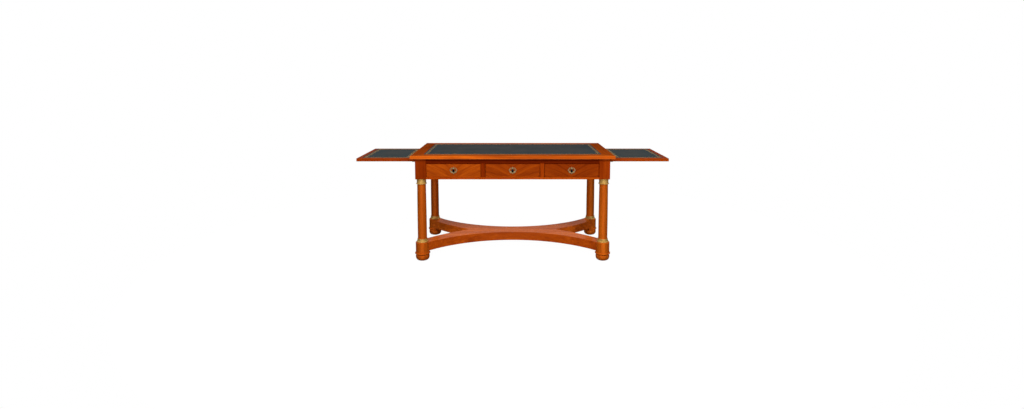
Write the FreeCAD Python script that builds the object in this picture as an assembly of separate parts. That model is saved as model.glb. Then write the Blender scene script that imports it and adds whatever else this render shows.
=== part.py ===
import FreeCAD, Part
import math
import os

# A free-standing writing desk in the Empire manner, in millimetres.
# It has a leather-lined top, three locking drawers in the frieze, a pull-out writing slide
# at each end, four turned columns with brass mounts, and a stretcher of two bows.
# The origin lies on the floor under the middle of the desk. +X runs along the desk,
# -Y is the drawer side and +Z is up. The slides are drawn out at rest.

Vector = FreeCAD.Vector

# Overall size of the top and height of its leather
top_length = 1470.0
top_depth = 780.0
desk_height = 780.0

# Top
top_thickness = 24.0
border_width = 85.0
top_edge_radius = 6.0
under_edge_radius = 3.0
end_overhang = 33.0
front_overhang = 20.0
leather_thickness = 1.5
leather_gap = 0.2
tongue_length = 10.0
tongue_thickness = 8.0

# Frieze
post_width = 78.0
post_edge_radius = 1.5
rail_thickness = 22.0
top_rail_depth = 40.0
bottom_rail_height = 16.0
drawer_opening_height = 100.0
divider_width = 28.0
tenon_length = 24.0
tenon_shoulder = 4.0
divider_tenon = 6.0
bed_thickness = 12.0
bed_setback = 2.0

# Joints that are glued, and turned pieces let into one another
glue_line = 0.1
peg_radius = 15.0
peg_length = 36.0

# Writing slides
slide_thickness = 23.0
slide_travel = 436.0
slide_proud = 10.0
slide_border = 34.0
slide_edge_radius = 3.0
slide_leather_tuck = 6.0
slide_clearance = 0.3
slide_end_gap = 1.0
kicker_thickness = 9.4
stop_batten_width = 20.0
centre_stop_width = 40.0
guide_width = 14.0
plate_reach = 36.0
plate_width = 20.0
plate_thickness = 3.0
plate_inset = 4.0

# Drawers
drawer_front_thickness = 19.0
drawer_front_setback = 3.0
drawer_front_gap = 1.5
bead_width = 3.5
bead_height = 1.5
drawer_side_thickness = 12.0
drawer_side_height = 78.0
drawer_side_gap = 1.5
drawer_back_gap = 90.0
drawer_bottom_thickness = 6.0
drawer_bottom_lift = 6.0
groove_depth = 5.0
runner_clearance = 0.3
runner_thickness = 14.0
runner_ledge = 18.0
runner_rib_height = 36.0
end_rib_width = 16.0
stop_block_width = 40.0
stop_block_height = 30.0
stop_block_lift = 20.0

# Locks and their plates
key_radius = 4.0
key_slot_width = 1.3
key_slot_reach = 2.5
lock_width = 60.0
lock_thickness = 10.0
lock_below_key = 18.0
lock_key_radius = 4.5
bolt_width = 16.0
bolt_thickness = 5.0
bolt_length = 24.0
bolt_throw = 7.0
bolt_gap = 0.3
keeper_gap = 1.5
escutcheon_half_width = 30.0
escutcheon_half_height = 28.0
escutcheon_thickness = 2.5
escutcheon_rim = 6.5
escutcheon_stem_width = 11.0
escutcheon_sill = 5.0
escutcheon_boss_radius = 9.5
escutcheon_boss_height = 1.2
escutcheon_key_radius = 4.5

# Legs, from the floor up
foot_height = 46.0
foot_radius = 50.4
foot_flat_radius = 26.0
foot_neck_radius = 45.0
foot_belly_height = 31.0
foot_peg_radius = 12.0
foot_peg_length = 28.0
socle_height = 91.0
socle_radius = 49.5
socle_shoulder = 6.0
socle_ring_radius = 55.6
socle_ring_height = 16.0
base_ring_height = 26.0
base_ring_foot_radius = 42.5
base_ring_foot_height = 8.0
base_ring_foot_round = 1.0
base_ring_wall = 2.5
column_base_radius = 34.0
column_top_radius = 32.4
capital_height = 39.0
capital_wall = 1.2
capital_lip = 4.4
capital_lip_height = 6.0
capital_ring = 5.6
capital_ring_height = 7.5
capital_ring_rise = 0.5

# Stretcher
stretcher_thickness = 64.0
stretcher_drop = 1.5
waist_width = 160.0
notch_half_spacing = 341.0
arm_end_width = 88.0
arm_angle = 45.0
arm_inner_sag = 20.0
dowel_radius = 10.0
dowel_arm_length = 40.0
dowel_wall = 6.0

# Screws that hold the top down
screw_radius = 2.2
screw_head_radius = 4.0
screw_head_height = 3.0
screw_head_sink = 0.5
screw_cover = 7.0
rail_screw_inset = 60.0
kicker_screw_rows = 2
kicker_screw_reach = 200.0

# Heights worked out from the sizes above
top_under = desk_height - top_thickness
top_rail_height = slide_thickness + kicker_thickness + 2 * slide_clearance
opening_top = top_under - top_rail_height
opening_bottom = opening_top - drawer_opening_height
frieze_bottom = opening_bottom - bottom_rail_height
socle_bottom = foot_height
socle_top = socle_bottom + socle_height
base_ring_top = socle_top + base_ring_height
capital_bottom = frieze_bottom - capital_height
stretcher_top = socle_top - stretcher_drop
stretcher_bottom = stretcher_top - stretcher_thickness
slide_bottom = opening_top + slide_clearance
slide_top = slide_bottom + slide_thickness
drawer_floor = opening_bottom + drawer_front_gap
drawer_roof = opening_top - drawer_front_gap
drawer_bottom_z = drawer_floor + drawer_bottom_lift
key_z = (drawer_floor + drawer_roof) / 2

# Half lengths and half depths of the frieze and what stands in it
top_x = top_length / 2
top_y = top_depth / 2
frieze_x = top_x - end_overhang
frieze_y = top_y - front_overhang
post_x = frieze_x - post_width
post_y = frieze_y - post_width
leg_x = frieze_x - post_width / 2
leg_y = frieze_y - post_width / 2
rail_x = frieze_x - rail_thickness
rail_y = frieze_y - rail_thickness
panel_x = top_x - border_width
panel_y = top_y - border_width
drawer_count = 3
opening_width = (2 * post_x - (drawer_count - 1) * divider_width) / drawer_count
drawer_pitch = opening_width + divider_width
drawer_back_y = rail_y - drawer_back_gap
front_face_y = -frieze_y + drawer_front_setback
front_inner_y = front_face_y + drawer_front_thickness
panel_face_y = front_face_y + bead_height
lock_mid_y = front_inner_y - lock_thickness / 2

# Slides, closed and drawn out
guide_inner_y = post_y - guide_width
slide_half_depth = guide_inner_y - slide_clearance
slide_outer_x = frieze_x + slide_proud + slide_travel
slide_length = frieze_x + slide_proud - centre_stop_width / 2 - slide_end_gap
slide_inner_x = slide_outer_x - slide_length
slide_leather_x = top_x - slide_leather_tuck
kicker_inner_x = slide_inner_x + stop_batten_width + slide_clearance
kicker_screw_pitch = (panel_x - kicker_inner_x) / (kicker_screw_rows + 1)

SIDES = {"left": -1, "right": 1}
ENDS = {"front": -1, "rear": 1}
DRAWERS = {"left": -drawer_pitch, "centre": 0.0, "right": drawer_pitch}


def block(low_x, high_x, low_y, high_y, low_z, high_z):
    """A box between two corners, given in either order along each axis."""
    low = Vector(min(low_x, high_x), min(low_y, high_y), min(low_z, high_z))
    high = Vector(max(low_x, high_x), max(low_y, high_y), max(low_z, high_z))
    return Part.makeBox(high.x - low.x, high.y - low.y, high.z - low.z, low)


def rod(radius, start, direction, length):
    """A round bar from a point along a direction."""
    return Part.makeCylinder(radius, length, start, direction)


def turned(start, *steps):
    """A solid turned about Z. A step is (r, z) for a line or (mid r, mid z, r, z) for an arc."""
    edges = []
    first = Vector(start[0], 0, start[1])
    here = first
    for step in steps:
        there = Vector(step[-2], 0, step[-1])
        if len(step) == 2:
            edges.append(Part.LineSegment(here, there).toShape())
        else:
            edges.append(Part.Arc(here, Vector(step[0], 0, step[1]), there).toShape())
        here = there
    edges.append(Part.LineSegment(here, first).toShape())
    face = Part.Face(Part.Wire(edges))
    return face.revolve(Vector(0, 0, 0), Vector(0, 0, 1), 360)


def prism(points, low_z, high_z):
    """An upright prism on a closed outline of straight lines."""
    corners = [Vector(x, y, low_z) for x, y in points]
    outline = Part.makePolygon(corners + corners[:1])
    return Part.Face(outline).extrude(Vector(0, 0, high_z - low_z))


def rounded(shape, radius, chosen):
    """The shape with a fillet on each edge for which chosen(edge's box) is true."""
    edges = [edge for edge in shape.Edges if chosen(edge.BoundBox)]
    return shape.makeFillet(radius, edges)


def level(low, high, value):
    """Whether a span lies at one value."""
    return abs(low - value) < glue_line and abs(high - value) < glue_line


def placed(shape, x, y):
    """A copy of a shape moved in plan."""
    copy = shape.copy()
    copy.translate(Vector(x, y, 0))
    return copy


def leg_places():
    """The name and the plan position of each leg."""
    for end, end_sign in ENDS.items():
        for side, side_sign in SIDES.items():
            yield f"{end}_{side}", side_sign * leg_x, end_sign * leg_y


def at_legs(shape):
    """One copy of a shape at each leg."""
    return [placed(shape, x, y) for _, x, y in leg_places()]


def tenon_x(face_x, low_y, high_y, low_z, high_z, extra=0.0):
    """The tenon or, with extra room, the mortise of a rail that runs along X into a post."""
    outward = math.copysign(1, face_x)
    shoulder = tenon_shoulder - extra
    return block(face_x, face_x + outward * (tenon_length + extra),
                 low_y + shoulder, high_y - shoulder, low_z + shoulder, high_z - shoulder)


def tenon_y(face_y, low_x, high_x, low_z, high_z, extra=0.0):
    """The tenon or, with extra room, the mortise of a rail that runs along Y into a post."""
    outward = math.copysign(1, face_y)
    shoulder = tenon_shoulder - extra
    return block(low_x + shoulder, high_x - shoulder, face_y,
                 face_y + outward * (tenon_length + extra), low_z + shoulder, high_z - shoulder)


# The rails that run along X, each as low y, high y, low z and high z
LONG_RAILS = {
    "front_top_rail": (-frieze_y, -frieze_y + top_rail_depth, opening_top, top_under),
    "front_bottom_rail": (-frieze_y, -rail_y, frieze_bottom, opening_bottom),
    "back_rail": (rail_y, frieze_y, frieze_bottom, top_under),
}


def rail_screw_places():
    """The plan position of each screw that goes up through the front top rail."""
    y = -frieze_y + top_rail_depth / 2
    for side in SIDES.values():
        yield side * (post_x - rail_screw_inset), y
        yield side * drawer_pitch / 4, y


def kicker_screw_places():
    """The plan position of each screw that goes up through the two kickers."""
    for side in SIDES.values():
        for row in range(kicker_screw_rows):
            x = kicker_inner_x + (row + 1) * kicker_screw_pitch
            for end in ENDS.values():
                yield side * x, end * kicker_screw_reach


def screw(x, y, low_z, extra=0.0):
    """A wood screw with a flat head, or with extra room the hole that it goes in."""
    head_z = low_z + screw_head_sink
    tip_z = desk_height - screw_cover
    head_low = low_z if extra else head_z
    head = rod(screw_head_radius + extra, Vector(x, y, head_low), Vector(0, 0, 1),
               head_z + screw_head_height - head_low)
    shank = rod(screw_radius + extra, Vector(x, y, head_z), Vector(0, 0, 1), tip_z - head_z + extra)
    return head.fuse(shank).removeSplitter()


def screw_set(extra=0.0):
    """All screws that hold the top down, or their holes."""
    kicker_bottom = top_under - kicker_thickness
    screws = [screw(x, y, opening_top, extra) for x, y in rail_screw_places()]
    screws += [screw(x, y, kicker_bottom, extra) for x, y in kicker_screw_places()]
    return screws


def top_pieces():
    """The core panel with its tongue, four mitred border pieces and the leather."""
    panel_top = desk_height - leather_thickness
    tongue_z = (top_under + panel_top) / 2 - tongue_thickness / 2
    panel = block(-panel_x, panel_x, -panel_y, panel_y, top_under, panel_top)
    tongue = block(-panel_x - tongue_length, panel_x + tongue_length,
                   -panel_y - tongue_length, panel_y + tongue_length,
                   tongue_z, tongue_z + tongue_thickness)
    reach = tongue_length + glue_line
    groove = block(-panel_x - reach, panel_x + reach, -panel_y - reach, panel_y + reach,
                   tongue_z - glue_line, tongue_z + tongue_thickness + glue_line)
    holes = Part.makeCompound(screw_set(glue_line))
    pieces = {"top_panel": panel.fuse(tongue).removeSplitter().cut(holes)}
    for name, sign in ENDS.items():
        outer_y = sign * top_y
        outline = [(-top_x, outer_y), (top_x, outer_y),
                   (panel_x, sign * panel_y), (-panel_x, sign * panel_y)]
        piece = prism(outline, top_under, desk_height)
        piece = rounded(piece, top_edge_radius, lambda b: level(b.YMin, b.YMax, outer_y)
                        and level(b.ZMin, b.ZMax, desk_height))
        piece = rounded(piece, under_edge_radius, lambda b: level(b.YMin, b.YMax, outer_y)
                        and level(b.ZMin, b.ZMax, top_under))
        pieces[f"top_border_{name}"] = piece.cut(groove).cut(holes)
    for name, sign in SIDES.items():
        outer_x = sign * top_x
        outline = [(outer_x, -top_y), (outer_x, top_y),
                   (sign * panel_x, panel_y), (sign * panel_x, -panel_y)]
        piece = prism(outline, top_under, desk_height)
        piece = rounded(piece, top_edge_radius, lambda b: level(b.XMin, b.XMax, outer_x)
                        and level(b.ZMin, b.ZMax, desk_height))
        piece = rounded(piece, under_edge_radius, lambda b: level(b.XMin, b.XMax, outer_x)
                        and level(b.ZMin, b.ZMax, top_under))
        pieces[f"top_border_{name}"] = piece.cut(groove)
    pieces["top_leather"] = block(-panel_x + leather_gap, panel_x - leather_gap,
                                  -panel_y + leather_gap, panel_y - leather_gap,
                                  panel_top, desk_height)
    return pieces


def post(side, end):
    """A square corner post with mortises for its rails and a bore for its column."""
    outer_x = side * frieze_x
    outer_y = end * frieze_y
    shape = block(side * post_x, outer_x, end * post_y, outer_y, frieze_bottom, top_under)
    upright = top_under - frieze_bottom
    shape = rounded(shape, post_edge_radius, lambda b: b.ZLength > upright - glue_line)
    for low_y, high_y, low_z, high_z in LONG_RAILS.values():
        if end * (low_y + high_y) > 0:
            shape = shape.cut(tenon_x(side * post_x, low_y, high_y, low_z, high_z, glue_line))
    low_x, high_x = sorted((side * rail_x, side * frieze_x))
    shape = shape.cut(tenon_y(end * post_y, low_x, high_x, frieze_bottom, opening_top, glue_line))
    bore = rod(peg_radius + glue_line, Vector(side * leg_x, end * leg_y, frieze_bottom),
               Vector(0, 0, 1), peg_length + glue_line)
    return shape.cut(bore)


def keeper(centre_x):
    """The mortise in the top rail that a drawer's bolt rises into."""
    half_x = bolt_width / 2 + keeper_gap
    half_y = bolt_thickness / 2 + keeper_gap
    return block(centre_x - half_x, centre_x + half_x, lock_mid_y - half_y, lock_mid_y + half_y,
                 opening_top, opening_top + bolt_throw + keeper_gap)


def divider(centre_x, extra=0.0):
    """An upright between two drawers, or with extra room the two mortises of its tenons."""
    half = divider_width / 2
    tenon_half = half - tenon_shoulder + extra
    tongue = block(centre_x - tenon_half, centre_x + tenon_half,
                   -frieze_y + tenon_shoulder - extra, -rail_y - tenon_shoulder + extra,
                   opening_bottom - divider_tenon - extra, opening_top + divider_tenon + extra)
    if extra:
        return tongue
    body = block(centre_x - half, centre_x + half, -frieze_y, -rail_y, opening_bottom, opening_top)
    return body.fuse(tongue).removeSplitter()


def divider_places():
    """The middle of each upright between drawers."""
    return [side * drawer_pitch / 2 for side in SIDES.values()]


def rail_pieces():
    """The rails of the frieze, tenoned into the posts, and the uprights between the drawers."""
    pieces = {}
    mortises = Part.makeCompound([divider(x, glue_line) for x in divider_places()])
    keepers = Part.makeCompound([keeper(x) for x in DRAWERS.values()])
    holes = Part.makeCompound(screw_set(glue_line))
    for name, (low_y, high_y, low_z, high_z) in LONG_RAILS.items():
        shape = block(-post_x, post_x, low_y, high_y, low_z, high_z)
        for side in SIDES.values():
            shape = shape.fuse(tenon_x(side * post_x, low_y, high_y, low_z, high_z))
        shape = shape.removeSplitter()
        if name.startswith("front"):
            shape = shape.cut(mortises)
        if name == "front_top_rail":
            shape = shape.cut(keepers).cut(holes)
        pieces[name] = shape
    for name, side in SIDES.items():
        low_x, high_x = sorted((side * rail_x, side * frieze_x))
        shape = block(low_x, high_x, -post_y, post_y, frieze_bottom, opening_top)
        for end in ENDS.values():
            shape = shape.fuse(tenon_y(end * post_y, low_x, high_x, frieze_bottom, opening_top))
        shape = shape.removeSplitter()
        for end in ENDS.values():
            shape = shape.cut(slide_plate(side, end))
        pieces[f"side_rail_{name}"] = shape
    pieces["drawer_dividers"] = Part.makeCompound([divider(x) for x in divider_places()])
    return pieces


def slide_plate(side, end):
    """A brass wearing plate let into a side rail, which carries the drawn slide."""
    outer_y = end * (slide_half_depth - plate_inset)
    return block(side * (rail_x + plate_inset), side * (frieze_x + plate_reach),
                 outer_y, outer_y - end * plate_width, opening_top - plate_thickness, opening_top)


def middle_runner(centre_x):
    """A runner behind an upright: a ledge for the drawer on each side and a rib between them."""
    half = divider_width / 2
    ledge_top = drawer_floor - runner_clearance
    ledge = block(centre_x - half - runner_ledge, centre_x + half + runner_ledge,
                  -rail_y, rail_y, ledge_top - runner_thickness, ledge_top)
    rib = block(centre_x - half, centre_x + half, -rail_y, rail_y,
                ledge_top, ledge_top + runner_rib_height)
    return ledge.fuse(rib).removeSplitter()


def end_runner(side):
    """A runner against a side rail, fitted between the posts."""
    ledge_top = drawer_floor - runner_clearance
    ledge_bottom = ledge_top - runner_thickness
    ledge = block(side * (post_x - runner_ledge), side * post_x, -rail_y, rail_y,
                  ledge_bottom, ledge_top)
    web = block(side * post_x, side * rail_x, -post_y, post_y, ledge_bottom, ledge_top)
    rib = block(side * post_x, side * (post_x + end_rib_width), -post_y, post_y,
                ledge_top, ledge_top + runner_rib_height)
    return ledge.fuse([web, rib]).removeSplitter()


def stop_block(centre_x):
    """A block on the back rail that a drawer comes to rest against."""
    low_z = drawer_floor + stop_block_lift
    return block(centre_x - stop_block_width / 2, centre_x + stop_block_width / 2,
                 drawer_back_y + runner_clearance, rail_y, low_z, low_z + stop_block_height)


def carcass_inside():
    """The runners and stops of the drawers, and the bed, guides, kickers and plates of the slides."""
    runners = [middle_runner(x) for x in divider_places()]
    runners += [end_runner(side) for side in SIDES.values()]
    bed_bottom = opening_top - bed_thickness
    bed = block(-rail_x, rail_x, -rail_y + bed_setback, rail_y, bed_bottom, opening_top)
    for _, x, y in leg_places():
        bed = bed.cut(block(math.copysign(post_x, x), math.copysign(frieze_x, x),
                            math.copysign(post_y, y), math.copysign(frieze_y, y),
                            bed_bottom, opening_top))
    guide_x = frieze_x - bed_setback
    guides = [block(-guide_x, guide_x, end * guide_inner_y, end * post_y, opening_top, top_under)
              for end in ENDS.values()]
    stop = block(-centre_stop_width / 2, centre_stop_width / 2, -guide_inner_y, guide_inner_y,
                 opening_top, top_under)
    holes = Part.makeCompound(screw_set(glue_line))
    kickers = [block(side * kicker_inner_x, side * frieze_x, -slide_half_depth, slide_half_depth,
                     top_under - kicker_thickness, top_under).cut(holes)
               for side in SIDES.values()]
    plates = [slide_plate(side, end) for side in SIDES.values() for end in ENDS.values()]
    return {
        "drawer_runners": Part.makeCompound(runners),
        "drawer_stops": Part.makeCompound([stop_block(x) for x in DRAWERS.values()]),
        "slide_bed": bed,
        "slide_guides": Part.makeCompound(guides + [stop] + kickers),
        "slide_plates": Part.makeCompound(plates),
        "top_screws": Part.makeCompound(screw_set()),
    }


def foot():
    """A turned bun foot with a peg that goes up into the socle."""
    slant = math.sqrt(0.5)
    cheek_r = foot_flat_radius + (foot_radius - foot_flat_radius) * slant
    cheek_z = foot_belly_height * (1 - slant)
    crown_r = foot_neck_radius + (foot_radius - foot_neck_radius) * slant
    crown_z = foot_belly_height + (foot_height - foot_belly_height) * slant
    return turned((0, 0), (foot_flat_radius, 0),
                  (cheek_r, cheek_z, foot_radius, foot_belly_height),
                  (crown_r, crown_z, foot_neck_radius, foot_height),
                  (foot_peg_radius, foot_height), (foot_peg_radius, foot_height + foot_peg_length),
                  (0, foot_height + foot_peg_length))


def socle():
    """A turned drum with a bead at its foot, a soft shoulder, and bores for both pegs."""
    bead_mid = socle_bottom + socle_ring_height / 2
    bead_top = socle_bottom + socle_ring_height
    shoulder_z = socle_top - socle_shoulder
    soft = socle_shoulder * (1 - math.sqrt(0.5))
    drum = turned((0, socle_bottom), (foot_neck_radius, socle_bottom),
                  (socle_ring_radius, bead_mid, socle_radius, bead_top),
                  (socle_radius, shoulder_z),
                  (socle_radius - soft, socle_top - soft, socle_radius - socle_shoulder, socle_top),
                  (0, socle_top))
    foot_bore = rod(foot_peg_radius + glue_line, Vector(0, 0, socle_bottom), Vector(0, 0, 1),
                    foot_peg_length + glue_line)
    column_bore = rod(peg_radius + glue_line, Vector(0, 0, socle_top), Vector(0, 0, -1),
                      peg_length + glue_line)
    return drum.cut(foot_bore).cut(column_bore)


def column():
    """A tapering column with straight seats for its two brass mounts and a peg at each end."""
    return turned((0, socle_top - peg_length), (peg_radius, socle_top - peg_length),
                  (peg_radius, socle_top), (column_base_radius, socle_top),
                  (column_base_radius, base_ring_top), (column_top_radius, capital_bottom),
                  (column_top_radius, frieze_bottom), (peg_radius, frieze_bottom),
                  (peg_radius, frieze_bottom + peg_length), (0, frieze_bottom + peg_length))


def base_ring():
    """A flared brass base: a rounded foot and a hollow flare up to the column."""
    bore = column_base_radius + glue_line
    neck = bore + base_ring_wall
    foot_mid = socle_top + base_ring_foot_height / 2
    foot_top = socle_top + base_ring_foot_height
    hollow_r = neck + (base_ring_foot_radius - neck) / 4
    hollow_z = (foot_top + base_ring_top) / 2 - base_ring_wall
    foot_edge = base_ring_foot_radius - base_ring_foot_round
    return turned((bore, socle_top), (foot_edge, socle_top),
                  (base_ring_foot_radius, foot_mid, foot_edge, foot_top),
                  (hollow_r, hollow_z, neck, base_ring_top),
                  (bore, base_ring_top))


def capital():
    """A brass sleeve at the head of the column, with a bead at its foot and a lip under the post."""
    bore = column_top_radius + glue_line
    wall = bore + capital_wall
    ring_low = capital_bottom + capital_ring_rise
    ring_high = ring_low + capital_ring_height
    lip_low = frieze_bottom - capital_lip_height
    return turned((bore, capital_bottom), (wall, capital_bottom), (wall, ring_low),
                  (bore + capital_ring, (ring_low + ring_high) / 2, wall, ring_high),
                  (wall, lip_low - capital_lip),
                  (bore + capital_lip, lip_low), (bore + capital_lip, frieze_bottom),
                  (bore, frieze_bottom))


def dowel(x, y, extra=0.0):
    """A dowel from a socle into the end of its stretcher arm, or with extra room its bore."""
    angle = math.radians(arm_angle)
    inward = Vector(-math.copysign(math.cos(angle), x), -math.copysign(math.sin(angle), y), 0)
    start = Vector(x, y, (stretcher_top + stretcher_bottom) / 2)
    start = start + inward * (peg_radius + dowel_wall - extra)
    end_reach = socle_radius + dowel_arm_length + extra
    return rod(dowel_radius + extra, start, inward, end_reach - (peg_radius + dowel_wall - extra))


def dowel_set(extra=0.0):
    """The four dowels of the stretcher, or their bores."""
    return [dowel(x, y, extra) for _, x, y in leg_places()]


def arm_points(end):
    """Where the left arm's outer edge ends, its inner edge ends and the inner edge's middle lies."""
    angle = math.radians(arm_angle)
    across = Vector(math.sin(angle), end * math.cos(angle), 0) * (arm_end_width / 2)
    axis = Vector(-leg_x, end * leg_y, 0)
    outer = axis + across
    inner = axis - across
    notch = Vector(-notch_half_spacing, 0, 0)
    chord = inner - notch
    square = Vector(-abs(chord.y), -end * abs(chord.x), 0)
    square.normalize()
    return outer, inner, (inner + notch) * 0.5 + square * arm_inner_sag, notch


def bow(end):
    """One bow of the stretcher: a curved plank between two socles, glued to the other bow."""
    lift = Vector(0, 0, stretcher_bottom)
    left = [point + lift for point in arm_points(end)]
    right = [Vector(-point.x, point.y, point.z) for point in left]
    waist = Vector(0, end * waist_width / 2, 0) + lift
    outline = [
        Part.Arc(left[0], waist, right[0]),
        Part.LineSegment(right[0], right[1]),
        Part.Arc(right[1], right[2], right[3]),
        Part.LineSegment(right[3], left[3]),
        Part.Arc(left[3], left[2], left[1]),
        Part.LineSegment(left[1], left[0]),
    ]
    wire = Part.Wire([curve.toShape() for curve in outline])
    plank = Part.Face(wire).extrude(Vector(0, 0, stretcher_thickness))
    cope = rod(socle_radius + glue_line, lift, Vector(0, 0, 1), stretcher_thickness)
    return plank.cut(Part.makeCompound(at_legs(cope) + dowel_set(glue_line)))


def leg_pieces():
    """The four legs from the floor to the frieze, and the stretcher that ties them."""
    pieces = {}
    bores = Part.makeCompound(dowel_set(glue_line))
    for name, x, y in leg_places():
        side = math.copysign(1, x)
        end = math.copysign(1, y)
        pieces[f"post_{name}"] = post(side, end)
        pieces[f"column_{name}"] = placed(column(), x, y)
        pieces[f"socle_{name}"] = placed(socle(), x, y).cut(bores)
    pieces["capitals"] = Part.makeCompound(at_legs(capital()))
    pieces["base_rings"] = Part.makeCompound(at_legs(base_ring()))
    pieces["bun_feet"] = Part.makeCompound(at_legs(foot()))
    for name, end in ENDS.items():
        pieces[f"stretcher_{name}"] = bow(end)
    pieces["stretcher_dowels"] = Part.makeCompound(dowel_set())
    return pieces


def slide_pieces(name, side):
    """A drawn-out writing slide: core board, mitred edging with a stop batten, and leather."""
    outer = side * slide_outer_x
    inner = side * slide_inner_x
    core_outer = outer - side * slide_border
    core_y = slide_half_depth - slide_border
    leather_inner = side * slide_leather_x
    bed_z = slide_top - leather_thickness
    core = block(inner, core_outer, -core_y, core_y, slide_bottom, slide_top)
    core = core.cut(block(leather_inner, core_outer, -core_y, core_y, bed_z, slide_top))
    edging = []
    for end in ENDS.values():
        outer_y = end * slide_half_depth
        outline = [(inner, outer_y), (outer, outer_y), (core_outer, end * core_y),
                   (inner, end * core_y)]
        strip = prism(outline, slide_bottom, slide_top)
        edging.append(rounded(strip, slide_edge_radius, lambda b: level(b.YMin, b.YMax, outer_y)
                              and b.ZLength < glue_line))
    outline = [(outer, -slide_half_depth), (outer, slide_half_depth),
               (core_outer, core_y), (core_outer, -core_y)]
    strip = prism(outline, slide_bottom, slide_top)
    edging.append(rounded(strip, slide_edge_radius, lambda b: level(b.XMin, b.XMax, outer)
                          and b.ZLength < glue_line))
    batten = block(inner, inner + side * stop_batten_width, -core_y, core_y,
                   slide_top, top_under - 2 * slide_clearance)
    gap = side * leather_gap
    leather = block(leather_inner + gap, core_outer - gap, -core_y + leather_gap,
                    core_y - leather_gap, bed_z, slide_top)
    return {
        f"slide_{name}_board": core,
        f"slide_{name}_edging": Part.makeCompound(edging + [batten]),
        f"slide_{name}_leather": leather,
    }


# Right half of the key plate's edge as arcs from its top point to its bottom point. Each arc has its
# middle and its end, as shares of the plate's half width and half height: a spear point, an upper
# lobe, the side point, a lower lobe and the foot.
ESCUTCHEON_ARCS = [
    ((0.08, 0.78), (0.20, 0.62)),
    ((0.48, 0.68), (0.68, 0.42)),
    ((0.80, 0.22), (1.00, 0.03)),
    ((0.82, -0.12), (0.74, -0.32)),
    ((0.60, -0.62), (0.30, -0.70)),
    ((0.12, -0.81), (0.00, -1.00)),
]


def escutcheon_outline(inset):
    """The lobed edge of a key plate, drawn in by an inset, as a face at the drawer's panel."""
    half_width = escutcheon_half_width - inset
    half_height = escutcheon_half_height - inset
    arcs = []
    for side in SIDES.values():
        here = Vector(0, 0, half_height)
        for middle, point in ESCUTCHEON_ARCS:
            over = Vector(side * middle[0] * half_width, 0, middle[1] * half_height)
            there = Vector(side * point[0] * half_width, 0, point[1] * half_height)
            arcs.append(Part.Arc(here, over, there).toShape())
            here = there
    return Part.Face(Part.Wire(Part.sortEdges(arcs)[0]))


def keyhole(radius, centre_x, face_y, depth):
    """A cutter for a keyhole, a round eye over a slot, from a face back through a depth."""
    face = Vector(centre_x, face_y, key_z)
    half = radius * key_slot_width / 2
    slot = block(centre_x - half, centre_x + half, face_y, face_y + depth,
                 key_z - radius * key_slot_reach, key_z)
    return rod(radius, face, Vector(0, 1, 0), depth).fuse(slot)


def escutcheon(centre_x):
    """A brass key plate: a lobed lozenge with two openings beside a raised boss at the keyhole."""
    outward = Vector(0, -1, 0)
    through = outward * escutcheon_thickness
    plate = escutcheon_outline(0.0).extrude(through)
    opening = escutcheon_outline(escutcheon_rim).extrude(through)
    half_stem = escutcheon_stem_width / 2
    stem = block(-half_stem, half_stem, -escutcheon_thickness, 0, 0, escutcheon_half_height)
    lower_half = block(-escutcheon_half_width, escutcheon_half_width, -escutcheon_thickness, 0,
                       -escutcheon_half_height, -escutcheon_sill)
    boss_depth = escutcheon_thickness + escutcheon_boss_height
    boss = rod(escutcheon_boss_radius, Vector(0, 0, 0), outward, boss_depth)
    opening = opening.cut(Part.makeCompound([boss, stem, lower_half]))
    plate = plate.cut(opening).fuse(boss).removeSplitter()
    plate.translate(Vector(centre_x, panel_face_y, key_z))
    return plate.cut(keyhole(escutcheon_key_radius, centre_x, panel_face_y - boss_depth, boss_depth))


def lock_case(centre_x):
    """A half-mortise lock: a flat case with a slot for its bolt and a hole for the key."""
    half = lock_width / 2
    case = block(centre_x - half, centre_x + half, front_inner_y - lock_thickness, front_inner_y,
                 key_z - lock_below_key, drawer_roof)
    slot_x = bolt_width / 2 + bolt_gap
    slot_y = bolt_thickness / 2 + bolt_gap
    slot = block(centre_x - slot_x, centre_x + slot_x, lock_mid_y - slot_y, lock_mid_y + slot_y,
                 drawer_roof - bolt_length - bolt_gap, drawer_roof)
    key = keyhole(lock_key_radius, centre_x, front_inner_y - lock_thickness, lock_thickness)
    return case.cut(slot).cut(key)


def bolt(centre_x):
    """The lock's bolt, drawn down level with the top edge of the drawer."""
    half_x = bolt_width / 2
    half_y = bolt_thickness / 2
    return block(centre_x - half_x, centre_x + half_x, lock_mid_y - half_y, lock_mid_y + half_y,
                 drawer_roof - bolt_length, drawer_roof)


def drawer_bottom(centre_x, extra=0.0):
    """The panel that lies in the grooves of a drawer, or with extra room those grooves."""
    inner_half = opening_width / 2 - drawer_side_gap - drawer_side_thickness
    reach = groove_depth + extra
    return block(centre_x - inner_half - reach, centre_x + inner_half + reach,
                 front_inner_y - reach, drawer_back_y - drawer_side_thickness + reach,
                 drawer_bottom_z - extra, drawer_bottom_z + drawer_bottom_thickness + extra)


def drawer_front(centre_x):
    """A drawer front with a raised bead round its panel, a keyhole and a mortise for its lock."""
    half = opening_width / 2 - drawer_front_gap
    front = block(centre_x - half, centre_x + half, front_face_y, front_inner_y,
                  drawer_floor, drawer_roof)
    field = block(centre_x - half + bead_width, centre_x + half - bead_width,
                  front_face_y, panel_face_y, drawer_floor + bead_width, drawer_roof - bead_width)
    key = keyhole(key_radius, centre_x, front_face_y, drawer_front_thickness)
    mortise = block(centre_x - lock_width / 2, centre_x + lock_width / 2,
                    front_inner_y - lock_thickness, front_inner_y, key_z - lock_below_key, drawer_roof)
    groove = drawer_bottom(centre_x, glue_line)
    return front.cut(field).cut(key).cut(mortise).cut(groove)


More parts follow.
